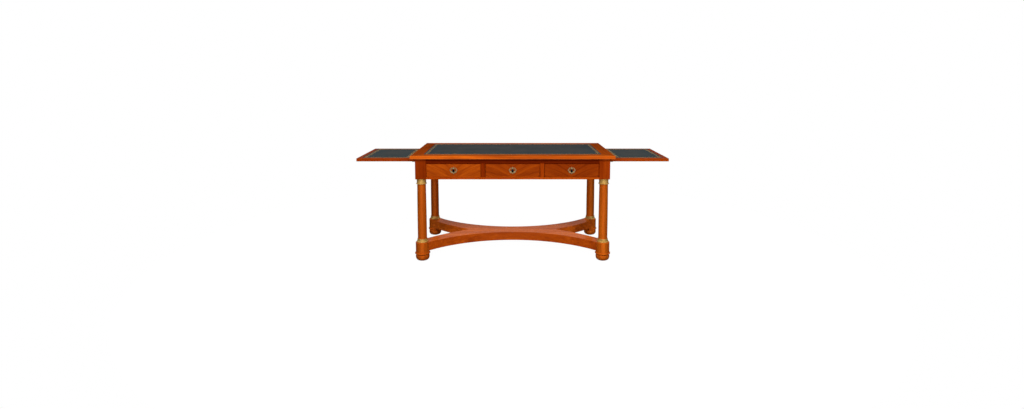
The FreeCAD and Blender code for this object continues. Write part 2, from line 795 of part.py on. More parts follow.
def drawer_box(centre_x):
    """Two drawer sides and a back, grooved for the bottom."""
    outer = opening_width / 2 - drawer_side_gap
    inner = outer - drawer_side_thickness
    roof = drawer_floor + drawer_side_height
    walls = [block(centre_x + side * inner, centre_x + side * outer, front_inner_y, drawer_back_y,
                   drawer_floor, roof) for side in SIDES.values()]
    walls.append(block(centre_x - inner, centre_x + inner, drawer_back_y - drawer_side_thickness,
                       drawer_back_y, drawer_floor, roof))
    groove = drawer_bottom(centre_x, glue_line)
    return Part.makeCompound([wall.cut(groove) for wall in walls])


def drawer_pieces(name, centre_x):
    """One drawer with its lock, key plate and bolt."""
    return {
        f"drawer_{name}_front": drawer_front(centre_x),
        f"drawer_{name}_box": drawer_box(centre_x),
        f"drawer_{name}_bottom": drawer_bottom(centre_x),
        f"drawer_{name}_escutcheon": escutcheon(centre_x),
        f"drawer_{name}_lock": lock_case(centre_x),
        f"drawer_{name}_bolt": bolt(centre_x),
    }


def desk():
    """Every piece of the desk by name."""
    pieces = {}
    pieces.update(top_pieces())
    pieces.update(leg_pieces())
    pieces.update(rail_pieces())
    pieces.update(carcass_inside())
    for name, side in SIDES.items():
        pieces.update(slide_pieces(name, side))
    for name, centre_x in DRAWERS.items():
        pieces.update(drawer_pieces(name, centre_x))
    return pieces


os.makedirs("parts", exist_ok=True)
for node, shape in desk().items():
    print(node, len(shape.Solids), "solids", "valid" if shape.isValid() else "NOT VALID")
    shape.exportStep(f"parts/{node}.step")
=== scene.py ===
import logging
import math
from collections.abc import Callable, Sequence
from dataclasses import dataclass
from enum import Enum

import bmesh
import bpy
from bmesh.types import BMEdge, BMesh, BMFace, BMVert
from bpy.types import Material, Node, NodeSocket, NodeTree, Object
from mathutils import Matrix, Vector


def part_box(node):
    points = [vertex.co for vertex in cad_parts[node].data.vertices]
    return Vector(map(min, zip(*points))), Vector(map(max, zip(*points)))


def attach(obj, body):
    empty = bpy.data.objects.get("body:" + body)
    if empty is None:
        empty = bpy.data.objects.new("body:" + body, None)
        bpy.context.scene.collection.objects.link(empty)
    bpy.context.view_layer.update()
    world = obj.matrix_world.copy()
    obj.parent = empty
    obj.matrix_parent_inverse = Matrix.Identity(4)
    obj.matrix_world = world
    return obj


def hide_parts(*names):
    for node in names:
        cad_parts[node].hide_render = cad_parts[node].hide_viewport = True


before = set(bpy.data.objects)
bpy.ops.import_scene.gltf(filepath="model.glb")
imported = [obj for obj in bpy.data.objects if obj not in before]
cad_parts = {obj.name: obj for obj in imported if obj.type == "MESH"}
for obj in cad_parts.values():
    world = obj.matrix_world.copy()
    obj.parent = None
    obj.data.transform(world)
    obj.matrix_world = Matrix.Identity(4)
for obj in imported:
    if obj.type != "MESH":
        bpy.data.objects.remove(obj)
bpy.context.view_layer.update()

LOG = logging.getLogger("writing_desk")
Colour = tuple[float, float, float]
Triple = tuple[float, float, float]
Pair = tuple[float, float]
Tones = tuple[tuple[str, float], ...]

CARCASS = "carcass"
MERGE_DISTANCE = 5e-6
FLAT_ANGLE = math.radians(0.5)
CRISP_ANGLE = math.radians(35)
TOUCH = 1e-5
FACING = 0.7
TURNED_STEPS = 72
FINE_STEPS = 96
FRONT = Vector((0.0, -1.0, 0.0))
UP = Vector((0.0, 0.0, 1.0))
UPRIGHT = Matrix.Rotation(math.pi / 2, 4, "X")
WHOLE: Pair = (0.0, 1.0)
MOST_NOISE: Pair = (0.3, 0.7)
COLOUR_MIX_INPUTS = (0, 6, 7)
COLOUR_MIX_OUTPUT = 2


class Named(Enum):
    """A choice whose name is a word in the names of pieces and finishes."""

    @property
    def word(self) -> str:
        """The choice's name in small letters."""
        return self.name.lower()


class Grain(Named):
    """The way the grain of a board runs, as the index of an axis."""

    LENGTH = 0
    DEPTH = 1
    HEIGHT = 2

    def turn(self, scales: Triple) -> Triple:
        """Scales along, across and through the grain, in the order of the axes."""
        return (*scales[1:self.value + 1], scales[0], *scales[self.value + 1:])


class Side(Named):
    """Left or right of the sitter, as a sign on X."""

    LEFT = -1
    RIGHT = 1


@dataclass(frozen=True)
class Noise:
    """A noise pattern: its repeats per metre along, across and through the grain, and its octaves."""

    scales: Triple
    detail: float = 3.0
    roughness: float = 0.55
    distortion: float = 0.0


class Nodes:
    """Writes nodes into a tree, which starts empty."""

    def __init__(self, tree: NodeTree) -> None:
        """Take the tree and empty it."""
        self.tree = tree
        tree.nodes.clear()

    def add(self, kind: str, inputs: dict | None = None, **settings: str) -> Node:
        """Add a node.

        Args:
            kind: the node's type without its ShaderNode prefix.
            inputs: values or sockets for the node's inputs, by name or index.
            settings: the node's own properties.

        Returns:
            The new node.
        """
        node = self.tree.nodes.new("ShaderNode" + kind)
        for name, value in settings.items():
            setattr(node, name, value)
        for key, value in (inputs or {}).items():
            if isinstance(value, NodeSocket):
                self.tree.links.new(value, node.inputs[key])
            else:
                node.inputs[key].default_value = value
        return node

    def math(self, operation: str, *values: float | NodeSocket) -> NodeSocket:
        """A Math node's result."""
        return self.add("Math", dict(enumerate(values)), operation=operation).outputs[0]

    def vector(self, operation: str, *values: Triple | NodeSocket) -> NodeSocket:
        """A Vector Math node's result."""
        return self.add("VectorMath", dict(enumerate(values)), operation=operation).outputs[0]

    def parts(self, vector: NodeSocket) -> Sequence[NodeSocket]:
        """A vector's X, Y and Z."""
        return self.add("SeparateXYZ", {"Vector": vector}).outputs

    def joined(self, x: NodeSocket, y: NodeSocket, z: float | NodeSocket) -> NodeSocket:
        """A vector of an X, a Y and a Z."""
        return self.add("CombineXYZ", {"X": x, "Y": y, "Z": z}).outputs["Vector"]

    def span(self, value: NodeSocket, start: Pair, end: Pair) -> NodeSocket:
        """A value mapped from one range to another and held inside it."""
        inputs = dict(zip(("From Min", "From Max", "To Min", "To Max"), (*start, *end)))
        return self.add("MapRange", {"Value": value, **inputs}).outputs["Result"]

    def choice(self, factor: NodeSocket, base: float | NodeSocket, over: float | NodeSocket) -> NodeSocket:
        """A number that goes from one value to another as a factor goes from 0 to 1."""
        return self.add("Mix", {"Factor": factor, "A": base, "B": over}).outputs[0]


class Shader(Nodes):
    """Writes the nodes of one material."""

    board_step: Triple = (13.1, 7.7, 5.3)
    reddening: float = 1.5

    def __init__(self, name: str) -> None:
        """Start an empty material.

        Args:
            name: the material's name.
        """
        self.material = bpy.data.materials.new(name)
        self.material.use_nodes = True
        super().__init__(self.material.node_tree)

    def surface(self, inputs: dict) -> None:
        """End the material in a Principled shader with some inputs."""
        surface = self.add("BsdfPrincipled", inputs).outputs["BSDF"]
        self.add("OutputMaterial", {"Surface": surface})

    def attribute(self, name: str) -> NodeSocket:
        """A number that the piece's own mesh carries."""
        return self.add("Attribute", attribute_name=name).outputs["Fac"]

    def spot(self) -> NodeSocket:
        """Object coordinates."""
        return self.add("TexCoord").outputs["Object"]

    def board_spot(self) -> NodeSocket:
        """Object coordinates, moved apart for each board by the board's own number."""
        return self.vector("MULTIPLY_ADD", self.attribute("board"), self.board_step, self.spot())

    def noise(self, spot: NodeSocket, noise: Noise, grain: Grain = Grain.LENGTH) -> NodeSocket:
        """A noise pattern stretched along a grain.

        Args:
            spot: the coordinates.
            noise: the pattern.
            grain: the way the grain runs.

        Returns:
            The pattern's value.
        """
        inputs = {"Vector": self.vector("MULTIPLY", spot, grain.turn(noise.scales)), "Scale": 1.0,
                  "Detail": noise.detail, "Roughness": noise.roughness, "Distortion": noise.distortion}
        return self.add("TexNoise", inputs).outputs["Fac"]

    def ramp(self, factor: NodeSocket, places: Triple, colours: Sequence[Colour]) -> NodeSocket:
        """A ramp of three colours.

        Args:
            factor: the value that picks the colour.
            places: where each colour stands, from 0 to 1 and in order.
            colours: the colours.

        Returns:
            The colour.
        """
        node = self.add("ValToRGB", {"Fac": factor})
        node.color_ramp.elements.new(1.0)
        for element, place, colour in zip(node.color_ramp.elements, places, colours):
            element.position = place
            element.color = (*colour, 1.0)
        return node.outputs["Color"]

    def blend(self, factor: NodeSocket, base: NodeSocket | Colour, over: Colour) -> NodeSocket:
        """A colour with a share of another laid over it.

        Args:
            factor: the share.
            base: the colour below.
            over: the colour laid over it.

        Returns:
            The blend.
        """
        first = base if isinstance(base, NodeSocket) else (*base, 1.0)
        inputs = dict(zip(COLOUR_MIX_INPUTS, (factor, first, (*over, 1.0))))
        return self.add("Mix", inputs, data_type="RGBA").outputs[COLOUR_MIX_OUTPUT]

    def shaded(self, colour: NodeSocket, shade: NodeSocket) -> NodeSocket:
        """A colour made darker or lighter by a number."""
        return self.add("VectorMath", {0: colour, "Scale": shade}, operation="SCALE").outputs[0]

    def toned(self, colour: NodeSocket) -> NodeSocket:
        """A colour made lighter, or darker and redder, by the tone stored on the board, which holds both
        its own colour and painted light and shade.

        Args:
            colour: the plain colour.

        Returns:
            The board's colour.
        """
        level = self.math("ADD", self.attribute("tone"), 1.0)
        deep = self.math("POWER", level, self.reddening)
        return self.vector("MULTIPLY", colour, self.joined(level, deep, deep))

    def bump(self, height: NodeSocket, depth: float) -> NodeSocket:
        """A normal bent by a height pattern of a depth in metres."""
        return self.add("Bump", {"Height": height, "Distance": depth, "Strength": 1.0}).outputs["Normal"]


@dataclass(frozen=True)
class Finish:
    """A surface finish that becomes one material."""

    name: str
    slot: str

    def material(self) -> Material:
        """Make the finish's material once.

        Returns:
            The material.
        """
        known = bpy.data.materials.get(self.name)
        if known:
            return known
        shader = Shader(self.name)
        self.paint(shader)
        return shader.material

    def paint(self, shader: Shader) -> None:
        """Write the finish's nodes."""
        raise NotImplementedError


@dataclass(frozen=True)
class Timber(Finish):
    """Wood with streaks, ribbons, fibres and pores along its grain, mahogany unless told otherwise."""

    grain: Grain = Grain.LENGTH
    dark: Colour = (0.160, 0.0157, 0.0010)
    middle: Colour = (0.345, 0.0455, 0.0020)
    light: Colour = (0.510, 0.084, 0.0038)
    places: Triple = (0.24, 0.5, 0.76)
    # Paler colour on rounded arrises: partly wear, partly a painted highlight along the arris.
    rub_and_highlight_colour: Colour = (0.560, 0.200, 0.090)
    rub_and_highlight_share: float = 0.3
    wander: float = 0.02
    drift_scale: float = 2.4
    drift_detail: float = 2.0
    streaks: Noise = Noise((3.0, 48.0, 48.0), 5.0, 0.62, 0.6)
    ribbons: Noise = Noise((1.1, 12.0, 12.0), 2.0)
    fibres: Noise = Noise((20.0, 800.0, 800.0), 2.0, 0.6)
    pores: Noise = Noise((60.0, 1700.0, 1700.0), 1.0)
    streak_share: float = 0.6
    fibre_shades: Pair = (0.86, 1.12)
    pore_edge: Pair = (0.27, 0.4)
    pore_shades: Pair = (0.55, 1.0)
    pore_depth: float = 0.00005
    fibre_relief: float = 0.35
    roughness: Pair = (0.176, 0.286)
    streaked_gloss: bool = False
    specular: float = 0.02
    sheen: float = 0.0
    polish: float = 0.0
    polish_roughness: float = 0.12

    def spot(self, shader: Shader) -> NodeSocket:
        """The coordinates of the grain, which wanders a little.

        Args:
            shader: the material's nodes.

        Returns:
            The coordinates.
        """
        spot = shader.board_spot()
        inputs = {"Vector": spot, "Scale": self.drift_scale, "Detail": self.drift_detail}
        drift = shader.add("TexNoise", inputs).outputs["Color"]
        return shader.vector("MULTIPLY_ADD", drift, (self.wander,) * 3, spot)

    def paint(self, shader: Shader) -> None:
        """Write the timber's nodes.

        Args:
            shader: the material's nodes.
        """
        spot = self.spot(shader)
        patterns = (self.streaks, self.ribbons, self.fibres, self.pores)
        streaks, ribbons, fibres, pores = (shader.noise(spot, noise, self.grain) for noise in patterns)
        broad = shader.math("MULTIPLY", ribbons, 1.0 - self.streak_share)
        figure = shader.math("MULTIPLY_ADD", streaks, self.streak_share, broad)
        colour = shader.ramp(figure, self.places, (self.dark, self.middle, self.light))
        fibre_shade = shader.span(fibres, MOST_NOISE, self.fibre_shades)
        pore_shade = shader.span(pores, self.pore_edge, self.pore_shades)
        colour = shader.toned(shader.shaded(colour, shader.math("MULTIPLY", fibre_shade, pore_shade)))
        # The arrises' paler colour: partly wear, partly a painted highlight.
        rubbed = shader.math("MULTIPLY", shader.attribute("rub_and_highlight"), self.rub_and_highlight_share)
        relief = shader.math("MULTIPLY_ADD", fibres, self.fibre_relief, pore_shade)
        gloss = streaks if self.streaked_gloss else fibres
        shader.surface({
            "Base Color": shader.blend(rubbed, colour, self.rub_and_highlight_colour),
            "Roughness": shader.span(gloss, MOST_NOISE, self.roughness),
            "Specular IOR Level": self.specular,
            "Metallic": self.sheen,
            "Coat Weight": self.polish,
            "Coat Roughness": self.polish_roughness,
            "Normal": shader.bump(relief, self.pore_depth),
        })


@dataclass(frozen=True)
class MatchedVeneer(Timber):
    """Figured veneer cut from one flitch and opened like a book about a middle line."""

    dark: Colour = (0.235, 0.031, 0.0014)
    middle: Colour = (0.36, 0.056, 0.0024)
    light: Colour = (0.46, 0.082, 0.0034)
    places: Triple = (0.36, 0.5, 0.63)
    streaks: Noise = Noise((5.0, 75.0, 1.0), 5.0, 0.6, 0.8)
    ribbons: Noise = Noise((2.0, 24.0, 1.0), 2.0)
    fibres: Noise = Noise((22.0, 800.0, 1.0), 2.0, 0.6)
    pores: Noise = Noise((70.0, 1700.0, 1.0), 1.0)
    fibre_shades: Pair = (0.88, 1.1)
    pore_shades: Pair = (0.6, 1.0)
    fibre_relief: float = 0.0
    roughness: Pair = (0.2, 0.3)
    streaked_gloss: bool = True
    centre: float = 0.0
    seed: float = 0.0
    lean: float = math.radians(33)
    curl: float = 0.9

    def spot(self, shader: Shader) -> NodeSocket:
        """Coordinates along and across the leaning figure, mirrored about the middle line.

        Args:
            shader: the material's nodes.

        Returns:
            The coordinates.
        """
        parts = shader.parts(shader.spot())
        away = shader.math("ABSOLUTE", shader.math("SUBTRACT", parts["X"], self.centre))
        rise = shader.math("MULTIPLY_ADD", shader.math("MULTIPLY", away, away), self.curl, parts["Z"])
        inputs = {"Vector": shader.joined(away, rise, self.seed), "Angle": -self.lean}
        return shader.add("VectorRotate", inputs, rotation_type="Z_AXIS").outputs["Vector"]


@dataclass(frozen=True)
class Leather(Finish):
    """Dyed hide with a pebbled grain, paler where it is rubbed."""

    dyed: Colour
    rubbed: Colour
    pebble: float = 750.0
    pebble_relief: float = -0.7
    creases: Noise = Noise((260.0, 260.0, 260.0), 4.0, 0.6, 0.8)
    clouds: Noise = Noise((5.0, 6.0, 5.0), 4.0, 0.6)
    rubbed_shares: Pair = (0.6, 1.0)
    heights: Pair = (-0.1, 0.5)
    shades: Pair = (0.72, 1.12)
    roughness: Pair = (0.62, 0.54)
    specular: float = 0.03
    depth: float = 0.00015

    def paint(self, shader: Shader) -> None:
        """Write the leather's nodes.

        Args:
            shader: the material's nodes.
        """
        spot = shader.board_spot()
        cells = shader.add("TexVoronoi", {"Vector": spot, "Scale": self.pebble, "Randomness": 1.0})
        creases = shader.noise(spot, self.creases)
        clouds = shader.noise(spot, self.clouds)
        height = shader.math("MULTIPLY_ADD", cells.outputs["Distance"], self.pebble_relief, creases)
        share = shader.span(clouds, MOST_NOISE, self.rubbed_shares)
        rubbed = shader.math("MULTIPLY", share, shader.attribute("use"))
        shade = shader.span(height, self.heights, self.shades)
        shader.surface({
            "Base Color": shader.toned(shader.shaded(shader.blend(rubbed, self.dyed, self.rubbed), shade)),
            "Roughness": shader.span(clouds, MOST_NOISE, self.roughness),
            "Specular IOR Level": self.specular,
            "Normal": shader.bump(height, self.depth),
        })


@dataclass(frozen=True)
class Metal(Finish):
    """Cast or rolled metal, or leaf, with a soft polish, handling marks and tarnish."""

    bright: Colour
    tarnish: Colour
    roughness: Pair = (0.33, 0.52)
    metallic: float | Pair = 1.0
    specular: float = 0.5
    smears: Noise = Noise((60.0, 60.0, 60.0), 5.0, 0.6, 0.4)
    specks: Noise = Noise((900.0, 900.0, 900.0), 2.0)
    tarnished: Pair = (0.46, 0.72)
    tarnish_shares: Pair = (0.0, 0.8)
    speck_relief: float = 0.3
    depth: float = 0.00004

    def paint(self, shader: Shader) -> None:
        """Write the metal's nodes.

        Args:
            shader: the material's nodes.
        """
        spot = shader.board_spot()
        smears = shader.noise(spot, self.smears)
        relief = shader.math("MULTIPLY_ADD", shader.noise(spot, self.specks), self.speck_relief, smears)
        share = shader.span(smears, self.tarnished, self.tarnish_shares)
        metallic = self.metallic
        if isinstance(metallic, tuple):
            metallic = shader.span(smears, self.tarnished, metallic)
        shader.surface({
            "Base Color": self.painted_over(shader, shader.toned(shader.blend(share, self.bright, self.tarnish))),
            "Metallic": metallic,
            "Roughness": shader.span(smears, MOST_NOISE, self.roughness),
            "Specular IOR Level": self.specular,
            "Normal": shader.bump(relief, self.depth),
        })

    def painted_over(self, shader: Shader, colour: NodeSocket) -> NodeSocket:
        """The metal's colour with whatever is painted over it."""
        return colour


@dataclass(frozen=True)
class KeyBrass(Metal):
    """Brass of a key plate, painted black round its keyhole as the keyhole's shadow."""

    bright: Colour = (0.41, 0.29, 0.14)
    tarnish: Colour = (0.22, 0.145, 0.065)
    roughness: Pair = (0.41, 0.60)
    metallic: float = 0.6
    keyhole: Pair = (0.0, 0.0)
    drop: float = 0.007
    # Painted shadow round the keyhole: its reach and its colour.
    keyhole_shadow_reach: Pair = (0.0080, 0.0096)
    keyhole_shadow_colour: Colour = (0.003, 0.002, 0.001)

    def painted_over(self, shader: Shader, colour: NodeSocket) -> NodeSocket:
        """The brass painted black as the keyhole's shadow within a reach of its eye and slot.

        Args:
            shader: the material's nodes.
            colour: the clean brass.

        Returns:
            The brass's colour with the painted shadow.
        """
        parts = shader.parts(shader.spot())
        across = shader.math("SUBTRACT", parts["X"], self.keyhole[0])
        upright = shader.math("SUBTRACT", parts["Z"], self.keyhole[1])
        slot = shader.span(upright, (-self.drop, 0.0), (-self.drop, 0.0))
        beside = shader.math("SUBTRACT", upright, slot)
        squares = shader.math("MULTIPLY_ADD", across, across, shader.math("MULTIPLY", beside, beside))
        share = shader.span(shader.math("SQRT", squares), self.keyhole_shadow_reach, (1.0, 0.0))
        return shader.blend(share, colour, self.keyhole_shadow_colour)


def timbers(word: str, slot: str, **looks: float | Pair | Colour | Noise) -> dict[Grain, Timber]:
    """One timber for each way that its grain can run."""
    return {grain: Timber(f"{word}_{grain.word}", slot, grain, **looks) for grain in Grain}


BORDER = timbers("border", "border_mahogany", roughness=(0.08, 0.13), pore_depth=0.00001)
FRIEZE = timbers("frieze", "frieze_mahogany", specular=0.0)
SLIDE = timbers("slide", "slide_mahogany")
OAK = timbers("oak", "inner_oak", dark=(0.235, 0.125, 0.050), middle=(0.365, 0.215, 0.095),
              light=(0.470, 0.300, 0.145), streaks=Noise((2.0, 70.0, 70.0), 5.0, 0.62, 0.6),
              roughness=(0.48, 0.78), specular=0.25)
TURNED = Timber("turned_wood", "turned_mahogany", Grain.HEIGHT, places=(0.1, 0.5, 0.9), specular=0.05,
                roughness=(0.32, 0.52), sheen=0.45, polish=0.06)
STRETCHER = Timber("stretcher_wood", "stretcher_mahogany", specular=0.06, roughness=(0.192, 0.312))
LEATHER = Leather("desk_hide", "desk_leather", (0.022, 0.032, 0.036), (0.035, 0.036, 0.035))
GILDING = Metal("tooled_gold", "brass", (0.66, 0.38, 0.09), (0.26, 0.15, 0.045), (0.45, 0.6), (0.25, 0.05),
                specular=0.05, smears=Noise((90.0, 90.0, 90.0), 4.0, 0.65), tarnished=(0.56, 0.76),
                tarnish_shares=(0.0, 0.75), speck_relief=0.0, depth=0.00005)
BRASS = Metal("old_brass", "brass", (0.80, 0.470, 0.120), (0.42, 0.220, 0.044), metallic=0.6)
# Darker brass for the slide plates: partly dull metal, partly painted shade of the slide above them.
DULL_SHADED_BRASS = Metal("dull_shaded_brass", "brass", (0.26, 0.16, 0.06), (0.14, 0.08, 0.03), (0.45, 0.64))
STEEL = Metal("bright_steel", "steel", (0.46, 0.46, 0.47), (0.22, 0.20, 0.18))


@dataclass(frozen=True)
class Rounding:
    """The rounding of an arris: its radius, and the faces across it."""

    radius: float
    steps: int = 3


def block(low: Vector, high: Vector) -> BMesh:
    """A squared block.

    Args:
        low: the lowest corner.
        high: the highest corner.

    Returns:
        The block's mesh.
    """
    mesh = bmesh.new()
    place = Matrix.Translation((low + high) / 2) @ Matrix.Diagonal((*(high - low), 1.0))
    bmesh.ops.create_cube(mesh, size=1.0, matrix=place)
    return mesh


def eased_block(low: Vector, high: Vector, rounding: Rounding) -> BMesh:
    """A squared block with all its edges rounded."""
    mesh = block(low, high)
    return soften(mesh, mesh.edges, rounding)


def edges_where(mesh: BMesh, test: Callable[[Vector], bool]) -> list[BMEdge]:
    """Edges that have both ends in a place that a test knows."""
    return [edge for edge in mesh.edges if all(test(vert.co) for vert in edge.verts)]


def crisp_edges(mesh: BMesh) -> list[BMEdge]:
    """Edges where two faces meet at a sharp angle."""
    return [edge for edge in mesh.edges if edge.is_manifold and edge.calc_face_angle() > CRISP_ANGLE]


def rim_edges(mesh: BMesh, outward: Vector, level: float) -> list[BMEdge]:
    """Edges of a board's outer side that lie at a level."""
    outer = max(vert.co.dot(outward) for vert in mesh.verts) - TOUCH
    return edges_where(mesh, lambda point: point.dot(outward) > outer and abs(point.z - level) < TOUCH)


def soften(mesh: BMesh, edges: Sequence[BMEdge], rounding: Rounding) -> BMesh:
    """Round some edges and mark the new faces for a paler colour: partly wear, partly a painted highlight
    along the arris.

    Args:
        mesh: the mesh that holds the edges.
        edges: the edges to round.
        rounding: the size of the rounding.

    Returns:
        The mesh.
    """
    made = bmesh.ops.bevel(mesh, geom=list(edges), offset=rounding.radius, offset_type="OFFSET",
                           segments=rounding.steps, profile=0.5, affect="EDGES", clamp_overlap=True,
                           material=-1)
    # Marked faces get the arris colour: wear and a painted highlight.
    rub_and_highlight = mesh.faces.layers.float.get("rub_and_highlight") or mesh.faces.layers.float.new("rub_and_highlight")
    for face in made["faces"]:
        if face.is_valid:
            face[rub_and_highlight] = 1.0
    return mesh


def mitred_board(low: Vector, high: Vector, inward: Vector, mitres: Sequence[int] = (-1, 1)) -> BMesh:
    """A board of a frame, with its ends cut at the frame's corners.

    Args:
        low: the board's lowest corner.
        high: the board's highest corner.
        inward: the direction from the board's outer edge to its inner edge.
        mitres: the ends that are mitred, as signs along the board.

    Returns:
        The board's mesh.
    """
    mesh = block(low, high)
    middle = (low + high) / 2
    along = Vector((abs(inward.y), abs(inward.x), 0.0))
    width = abs((high - low).dot(inward))
    for vert in mesh.verts:
        offset = vert.co - middle
        end = math.copysign(1, offset.dot(along))
        if offset.dot(inward) > 0 and end in mitres:
            vert.co -= along * end * width
    return mesh


def edge_strip(low: Vector, high: Vector, outward: Vector, width: float) -> tuple[Vector, Vector]:
    """The strip of a box along one of its sides.

    Args:
        low: the box's lowest corner.
        high: the box's highest corner.
        outward: the direction that the side faces, along an axis.
        width: the strip's width.

    Returns:
        The strip's lowest and highest corners.
    """
    strip_low, strip_high = low.copy(), high.copy()
    for axis, sign in enumerate(outward):
        if sign < 0:
            strip_high[axis] = low[axis] + width
        if sign > 0:
            strip_low[axis] = high[axis] - width
    return strip_low, strip_high


def thicken(mesh: BMesh, faces: Sequence[BMFace], reach: Vector) -> None:
    """Give flat faces a thickness.

    Args:
        mesh: the mesh that holds the faces.
        faces: the faces.
        reach: how far they are drawn out, and which way.
    """
    made = bmesh.ops.extrude_face_region(mesh, geom=faces)["geom"]
    bmesh.ops.translate(mesh, verts=[item for item in made if isinstance(item, BMVert)], vec=reach)
    bmesh.ops.recalc_face_normals(mesh, faces=mesh.faces)


def add_frame(mesh: BMesh, place: Matrix, size: Pair, width: float, rise: float) -> None:
    """Add a flat rectangular frame, such as a tooled line or a bead.

    Args:
        mesh: the mesh to add to.
        place: the middle of the frame, and the way that it faces.
        size: the frame's outer length and width.
        width: the width of its strips.
        rise: how far it stands up.
    """
    outline = place @ Matrix.Diagonal((*size, 1.0, 1.0))
    grid = bmesh.ops.create_grid(mesh, x_segments=1, y_segments=1, size=0.5, matrix=outline)
    sheet = grid["verts"][0].link_faces[0]
    rim = bmesh.ops.inset_region(mesh, faces=[sheet], thickness=width, use_boundary=True,
                                 use_even_offset=True)["faces"]
    bmesh.ops.delete(mesh, geom=[sheet], context="FACES")
    thicken(mesh, rim, place.to_3x3() @ UP * rise)


def cad_copy(node: str) -> BMesh:
    """A merged copy of a CAD node's mesh, with its flat faces joined.

    Args:
        node: the node's name.

    Returns:
        The copy.
    """
    mesh = bmesh.new()
    mesh.from_mesh(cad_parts[node].data)
    bmesh.ops.remove_doubles(mesh, verts=mesh.verts, dist=MERGE_DISTANCE)
    bmesh.ops.dissolve_limit(mesh, angle_limit=FLAT_ANGLE, verts=mesh.verts, edges=mesh.edges)
    for face in mesh.faces:
        face.material_index = 0
    return mesh


def put(mesh: BMesh, name: str, body: str, finish: Finish, node: str | None = None, board: float = 0.0,
        tone: float | Callable[[BMFace], float] = 0.0) -> Object:
    """Turn a finished mesh into a piece of the desk.

    Args:
        mesh: the piece's mesh, which is freed.
        name: the piece's name.
        body: the body that the piece moves with.
        finish: its finish.
        node: the CAD node that the piece stands for.
        board: a number that sets the piece's grain apart from its neighbours'.
        tone: how much lighter or darker than its finish the piece is, or each of its faces.

    Returns:
        The piece.
    """
    numbers, tones = (mesh.faces.layers.float.new(layer) for layer in ("board", "tone"))
    for face in mesh.faces:
        face[numbers] = board
        face[tones] = tone(face) if callable(tone) else tone
        face.smooth = True
    data = bpy.data.meshes.new(name)
    mesh.to_mesh(data)
    mesh.free()
    data.set_sharp_from_angle(angle=CRISP_ANGLE)
    data.materials.append(finish.material())
    piece = bpy.data.objects.new(name, data)
    bpy.context.scene.collection.objects.link(piece)
    piece.modifiers.new("even_shading", "WEIGHTED_NORMAL").keep_sharp = True
    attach(piece, body)
    if node:
        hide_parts(node)
    LOG.info("%s: %d faces on %s", name, len(data.polygons), body)
    return piece


def dress(node: str, finish: Finish) -> None:
    """Give a CAD node that stays a finish.

    Args:
        node: the node's name.
        finish: its finish.
    """
    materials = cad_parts[node].data.materials
    materials.clear()
    materials.append(finish.material())
    LOG.info("%s: dressed with %s", node, finish.name)


def facing(way: Vector, tone: float, rest: float) -> Callable[[BMFace], float]:
    """One tone for faces that look a way, and another for the rest: painted light and shade by the way a
    face turns.
    """
    return lambda face: tone if face.normal.dot(way) > FACING else rest


def leg_axis(corner: str) -> Vector:
    """The point on the floor under the middle of a corner's post."""
    low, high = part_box(f"post_{corner}")
    return Vector(((low.x + high.x) / 2, (low.y + high.y) / 2, 0.0))


class Profile:
    """Half section of a turned piece, as radius and height, drawn from its bottom up."""

    def __init__(self, *points: Pair) -> None:
        """Start with straight stretches between some points."""
        self.points = list(points)

    def line(self, *points: Pair) -> "Profile":
        """Draw straight stretches to some points."""
        self.points.extend(points)
        return self

    def bend(self, corner: Pair, end: Pair, steps: int) -> "Profile":
        """Draw a curved stretch.

        Args:
            corner: the point that the curve leans to.
            end: the curve's last point.
            steps: straight pieces in the curve.

        Returns:
            The profile itself.
        """
        start = Vector(self.points[-1])
        for step in range(1, steps + 1):
            share = step / steps
            point = start.lerp(Vector(corner), share).lerp(Vector(corner).lerp(Vector(end), share), share)
            self.points.append((point.x, point.y))
        return self

    def bead(self, rise: float, top: float, steps: int) -> "Profile":
        """Draw an upright half round.

        Args:
            rise: how far it stands out.
            top: the height of its top.
            steps: straight pieces in each half of it.

        Returns:
            The profile itself.
        """
        radius, height = self.points[-1]
        outer = radius + rise
        self.bend((outer, height), (outer, (height + top) / 2), steps)
        return self.bend((outer, top), (radius, top), steps)

    def turned(self, axis: Vector, steps: int, closed: bool = False) -> BMesh:
        """Spin the profile about an upright axis.

        Args:
            axis: a point on the axis.
            steps: faces round the shape.
            closed: whether the last point joins the first, as on a ring.

        Returns:
            The turned mesh.
        """
        mesh = bmesh.new()
        verts = [mesh.verts.new((axis.x + radius, axis.y, height)) for radius, height in self.points]
        pairs = list(zip(verts, verts[1:]))
        if closed:
            pairs.append((verts[-1], verts[0]))
        edges = [mesh.edges.new(pair) for pair in pairs]
        bmesh.ops.spin(mesh, geom=verts + edges, cent=axis, axis=(0, 0, 1), angle=2 * math.pi, steps=steps,
                       use_merge=True)
        bmesh.ops.remove_doubles(mesh, verts=mesh.verts, dist=MERGE_DISTANCE)
        bmesh.ops.recalc_face_normals(mesh, faces=mesh.faces)
        return mesh


